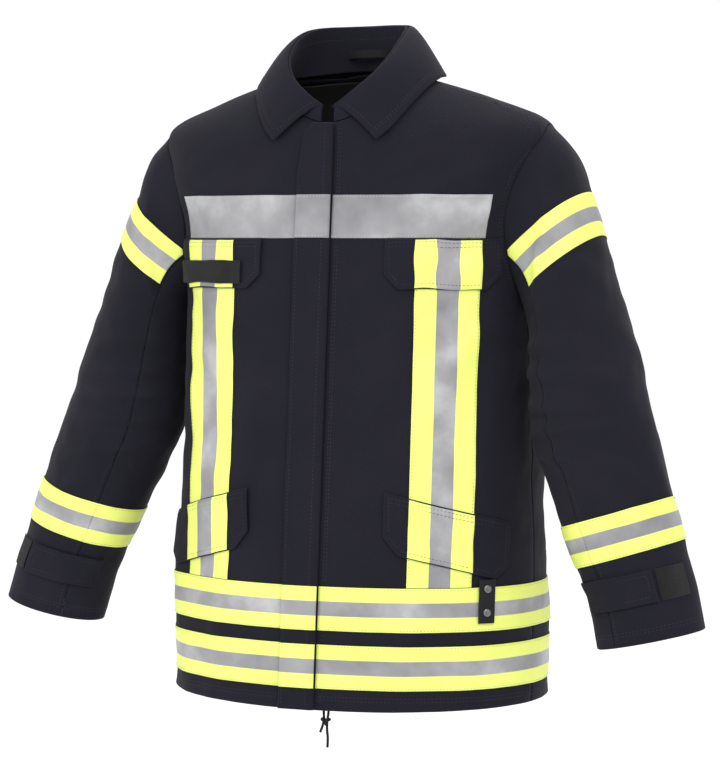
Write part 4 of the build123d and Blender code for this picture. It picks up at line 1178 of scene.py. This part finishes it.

# ---- Glove strap and small pieces ----------------------------------------------------------------------------
strap_h = LIFT + TAPE + 2.4 + 1.8
a, v, arc, z = patch((196.0, 216.0), (-588.0, -588.0), (-638.0, -638.0), 16, 30)
strap = cloth("glove_strap_webbing", on_body, a, v, strap_h, 1.8, 1, WEBBING)
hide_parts("glove_strap")
ends = on_front(np.array([206.0, 206.0]), np.array([-588.0, -593.0]))
start, end = on_body(*ends, np.array([strap_h, strap_h])) / 1000
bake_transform(strap)


def dome(points, faces, centre, normal, radius, height):
    """Adds a low snap cap with a rolled edge and a dimple to a list of points (mm) and faces."""
    n = normal / np.linalg.norm(normal)
    s = np.cross(n, [0, 0, 1.0])
    s /= np.linalg.norm(s)
    t = np.cross(n, s)
    profile = [(1.0, 0.0), (1.0, 0.45), (0.9, 0.8), (0.72, 0.95), (0.5, 0.85), (0.3, 0.8), (0.02, 0.8)]
    start = len(points)
    for share, up in profile:
        for k in range(28):
            turn = 2 * math.pi * k / 28
            points.append(centre + radius * share * (s * math.cos(turn) + t * math.sin(turn)) + n * height * up)
    for i in range(len(profile) - 1):
        for k in range(28):
            m = (k + 1) % 28
            low, high = start + i * 28, start + (i + 1) * 28
            faces.append([low + k, low + m, high + m, high + k])
    faces.append([start + (len(profile) - 1) * 28 + k for k in range(28)])
    faces.append([start + k for k in reversed(range(28))])


cap_points, cap_faces = [], []
a, v = on_front(np.array([206.0, 206.0]), np.array([-598.5, -625.5]))
p = on_body(a, v, np.full(2, strap_h))
n = on_body(a, v, np.full(2, strap_h + 1)) - p
for k in range(2):
    dome(cap_points, cap_faces, p[k] - n[k] * 0.1, n[k], 4.8, 2.0)
caps = new_object("strap_snap_domes", np.array(cap_points) / 1000, cap_faces, np.zeros((len(cap_points), 2)))
caps.data.materials.append(METAL)
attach(caps, "glove_strap")
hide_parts("strap_snap_caps")


def recolour(name, material):
    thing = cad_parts[name]
    thing.data.materials.clear()
    thing.data.materials.append(material)


for name in ("zip_tape_left", "zip_tape_right", "hanger_loop"):
    recolour(name, WEBBING)
for name in ("storm_flap_hook", "storm_flap_loop"):
    recolour(name, FUZZ)
for name in ("zip_chain", "zip_box", "cord_guide", "zip_pull"):
    recolour(name, PLASTIC)
for name in ("zip_slider", "strap_snap_studs"):
    recolour(name, METAL)

# ---- Stitching along the seams ----------------------------------------------------------------------------
for side in (1, -1):
    HAND[0] = side
    for curve, shift in ((seam_front, -1.6), (seam_front, -2.9)):
        stitch("coat_body", *line_on(on_body, curve[:, 0] + shift, curve[:, 1], 0.0), side=side)
    for curve, da in ((yoke_front, -2.2), (yoke_front, -4.0)):
        stitch("coat_body", *line_on(on_body, curve[3:-3, 0] + da, curve[3:-3, 1], 0.0), side=side)
    for lift in (2.5, 6.0):
        hole = hole_part(172, FRONT_TURN + 6)
        towards = np.array([88.0, 4.6])
        step = towards - hole
        step = step / np.linalg.norm(step * [1, 40], axis=-1, keepdims=True)
        moved = hole - step * lift * 0.42
        stitch("coat_body", *line_on(on_body, moved[:, 0], moved[:, 1], 0.0), side=side)
HAND[0] = 1
for up in (9.0, 13.0):
    for start, end in ((float(centre[0, 0]) + 1, 360 - float(centre[0, 0]) - 1),):
        a = np.linspace(start, end, 500)
        v = place_at(a, np.full(500, HEM + 3 + up))
        stitch("coat_body", *line_on(on_body, a, v, 0.0))
run_v = np.linspace(0.05, 7.6, 300)
for arc_at in (FLAP_SEAM + 5.5, FLAP_SEAM + 8.5):
    a = angle_at(np.full(300, arc_at), run_v)
    z = body(a, run_v)[..., 2]
    free = np.ones(300, bool)
    for top, bottom in ((CHEST_TOP, CHEST_BOTTOM), *HEM_TAPES):
        free &= (z > top + 1) | (z < bottom - 1)
    breaks = np.flatnonzero(np.diff(free.astype(int)))
    for part in np.split(np.arange(300), breaks + 1):
        if free[part[0]] and len(part) > 3:
            stitch("coat_body", *line_on(on_body, a[part], run_v[part], 0.0))
make_stitches()

# ---- Drawcord ---------------------------------------------------------------------------------------------
LONG_CORD = [
    (24.6, -156.2, -729.0),
    (24.8, -156.4, -739.0),
    (23.4, -157.6, -749.0),
    (22.9, -158.0, -760.0),
    (24.2, -157.4, -771.0),
    (23.6, -158.1, -781.0),
]
SHORT_CORD = [
    (18.4, -156.2, -729.0),
    (18.2, -156.5, -738.0),
    (19.4, -157.4, -748.0),
    (17.8, -157.9, -756.5),
    (14.6, -157.6, -764.0),
]


def cord_curve(name, points, radius):
    curve = bpy.data.curves.new(name, "CURVE")
    curve.dimensions = "3D"
    spline = curve.splines.new("NURBS")
    spline.points.add(len(points) - 1)
    for p, q in zip(spline.points, points):
        p.co = (*(c / 1000 for c in q), 1)
    spline.order_u = 3
    spline.use_endpoint_u = True
    spline.resolution_u = 12
    curve.bevel_depth = radius / 1000
    curve.bevel_resolution = 5
    curve.use_fill_caps = True
    curve.materials.append(WEBBING)
    thing = bpy.data.objects.new(name, curve)
    bpy.context.scene.collection.objects.link(thing)
    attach(thing, "coat_body")
    return thing


long_cord = cord_curve("drawcord_long_end", LONG_CORD, 1.5)
short_cord = cord_curve("drawcord_short_end", SHORT_CORD, 1.5)
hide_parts("drawcord_long")
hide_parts("drawcord_short")

turns = np.linspace(0, 2 * math.pi, 72, endpoint=False)
path = np.stack([
    21.4 + 2.75 * (np.sin(turns) + 0.9 * np.sin(2 * turns)),
    -157.5 + 2.3 * np.sin(3 * turns),
    -750.5 + 2.3 * (np.cos(turns) - 0.9 * np.cos(2 * turns)),
], -1)
knot_points, knot_faces = [], []
SIDES = 10
for i, p in enumerate(path):
    t = path[(i + 1) % 72] - path[i - 1]
    t /= np.linalg.norm(t)
    s = np.cross(t, [0.2, 1, 0.1])
    s /= np.linalg.norm(s)
    w = np.cross(t, s)
    for k in range(SIDES):
        b = 2 * math.pi * k / SIDES
        knot_points.append(p + 1.45 * (s * math.cos(b) + w * math.sin(b)))
for i in range(72):
    for k in range(SIDES):
        j, m = (i + 1) % 72, (k + 1) % SIDES
        knot_faces.append([i * SIDES + k, i * SIDES + m, j * SIDES + m, j * SIDES + k])
knot = new_object("drawcord_knot", np.array(knot_points) / 1000, knot_faces, np.zeros((len(knot_points), 2)))
knot.data.materials.append(WEBBING)
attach(knot, "coat_body")
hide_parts("cord_knot")

# ---- Floor, light and camera --------------------------------------------------------------------------------
bpy.ops.mesh.primitive_plane_add(size=30, location=(0, 0, -1.05))
floor = bpy.context.object
floor.name = "floor"
m, t, shader = nodes_of("pale_floor")
shader.inputs["Base Color"].default_value = (0.96, 0.96, 0.96, 1)
shader.inputs["Roughness"].default_value = 0.9
floor.data.materials.append(m)

scene = bpy.context.scene
scene.view_settings.view_transform = "Standard"
world = bpy.data.worlds.new("studio")
scene.world = world
world.use_nodes = True
world.node_tree.nodes["Background"].inputs[0].default_value = (1, 1, 1, 1)
world.node_tree.nodes["Background"].inputs[1].default_value = 1.04


def area_light(name, place, aim, size, power):
    data = bpy.data.lights.new(name, "AREA")
    data.size, data.energy = size, power
    lamp = bpy.data.objects.new(name, data)
    scene.collection.objects.link(lamp)
    lamp.location = place
    lamp.rotation_mode = "QUATERNION"
    lamp.rotation_quaternion = (Vector(aim) - Vector(place)).to_track_quat("-Z", "Y")


area_light("key", (1.6, -2.4, 1.4), (0, 0, -0.3), 1.4, 55)
area_light("fill", (-2.0, -2.2, 0.2), (0, 0, -0.4), 1.8, 26)
area_light("top", (0.2, 0.6, 2.2), (0, 0, -0.2), 1.6, 26)

AZIMUTH, DISTANCE, EYE_Z = math.radians(22), 3.3, -0.199
camera = bpy.data.objects.new("camera", bpy.data.cameras.new("camera"))
scene.collection.objects.link(camera)
scene.camera = camera
camera.data.lens, camera.data.sensor_width = 130, 36
camera.location = (DISTANCE * math.sin(AZIMUTH), -DISTANCE * math.cos(AZIMUTH), EYE_Z)
camera.rotation_mode = "QUATERNION"
aim = Vector((0, 0, EYE_Z - 0.173)) - camera.location
camera.rotation_quaternion = aim.to_track_quat("-Z", "Y")
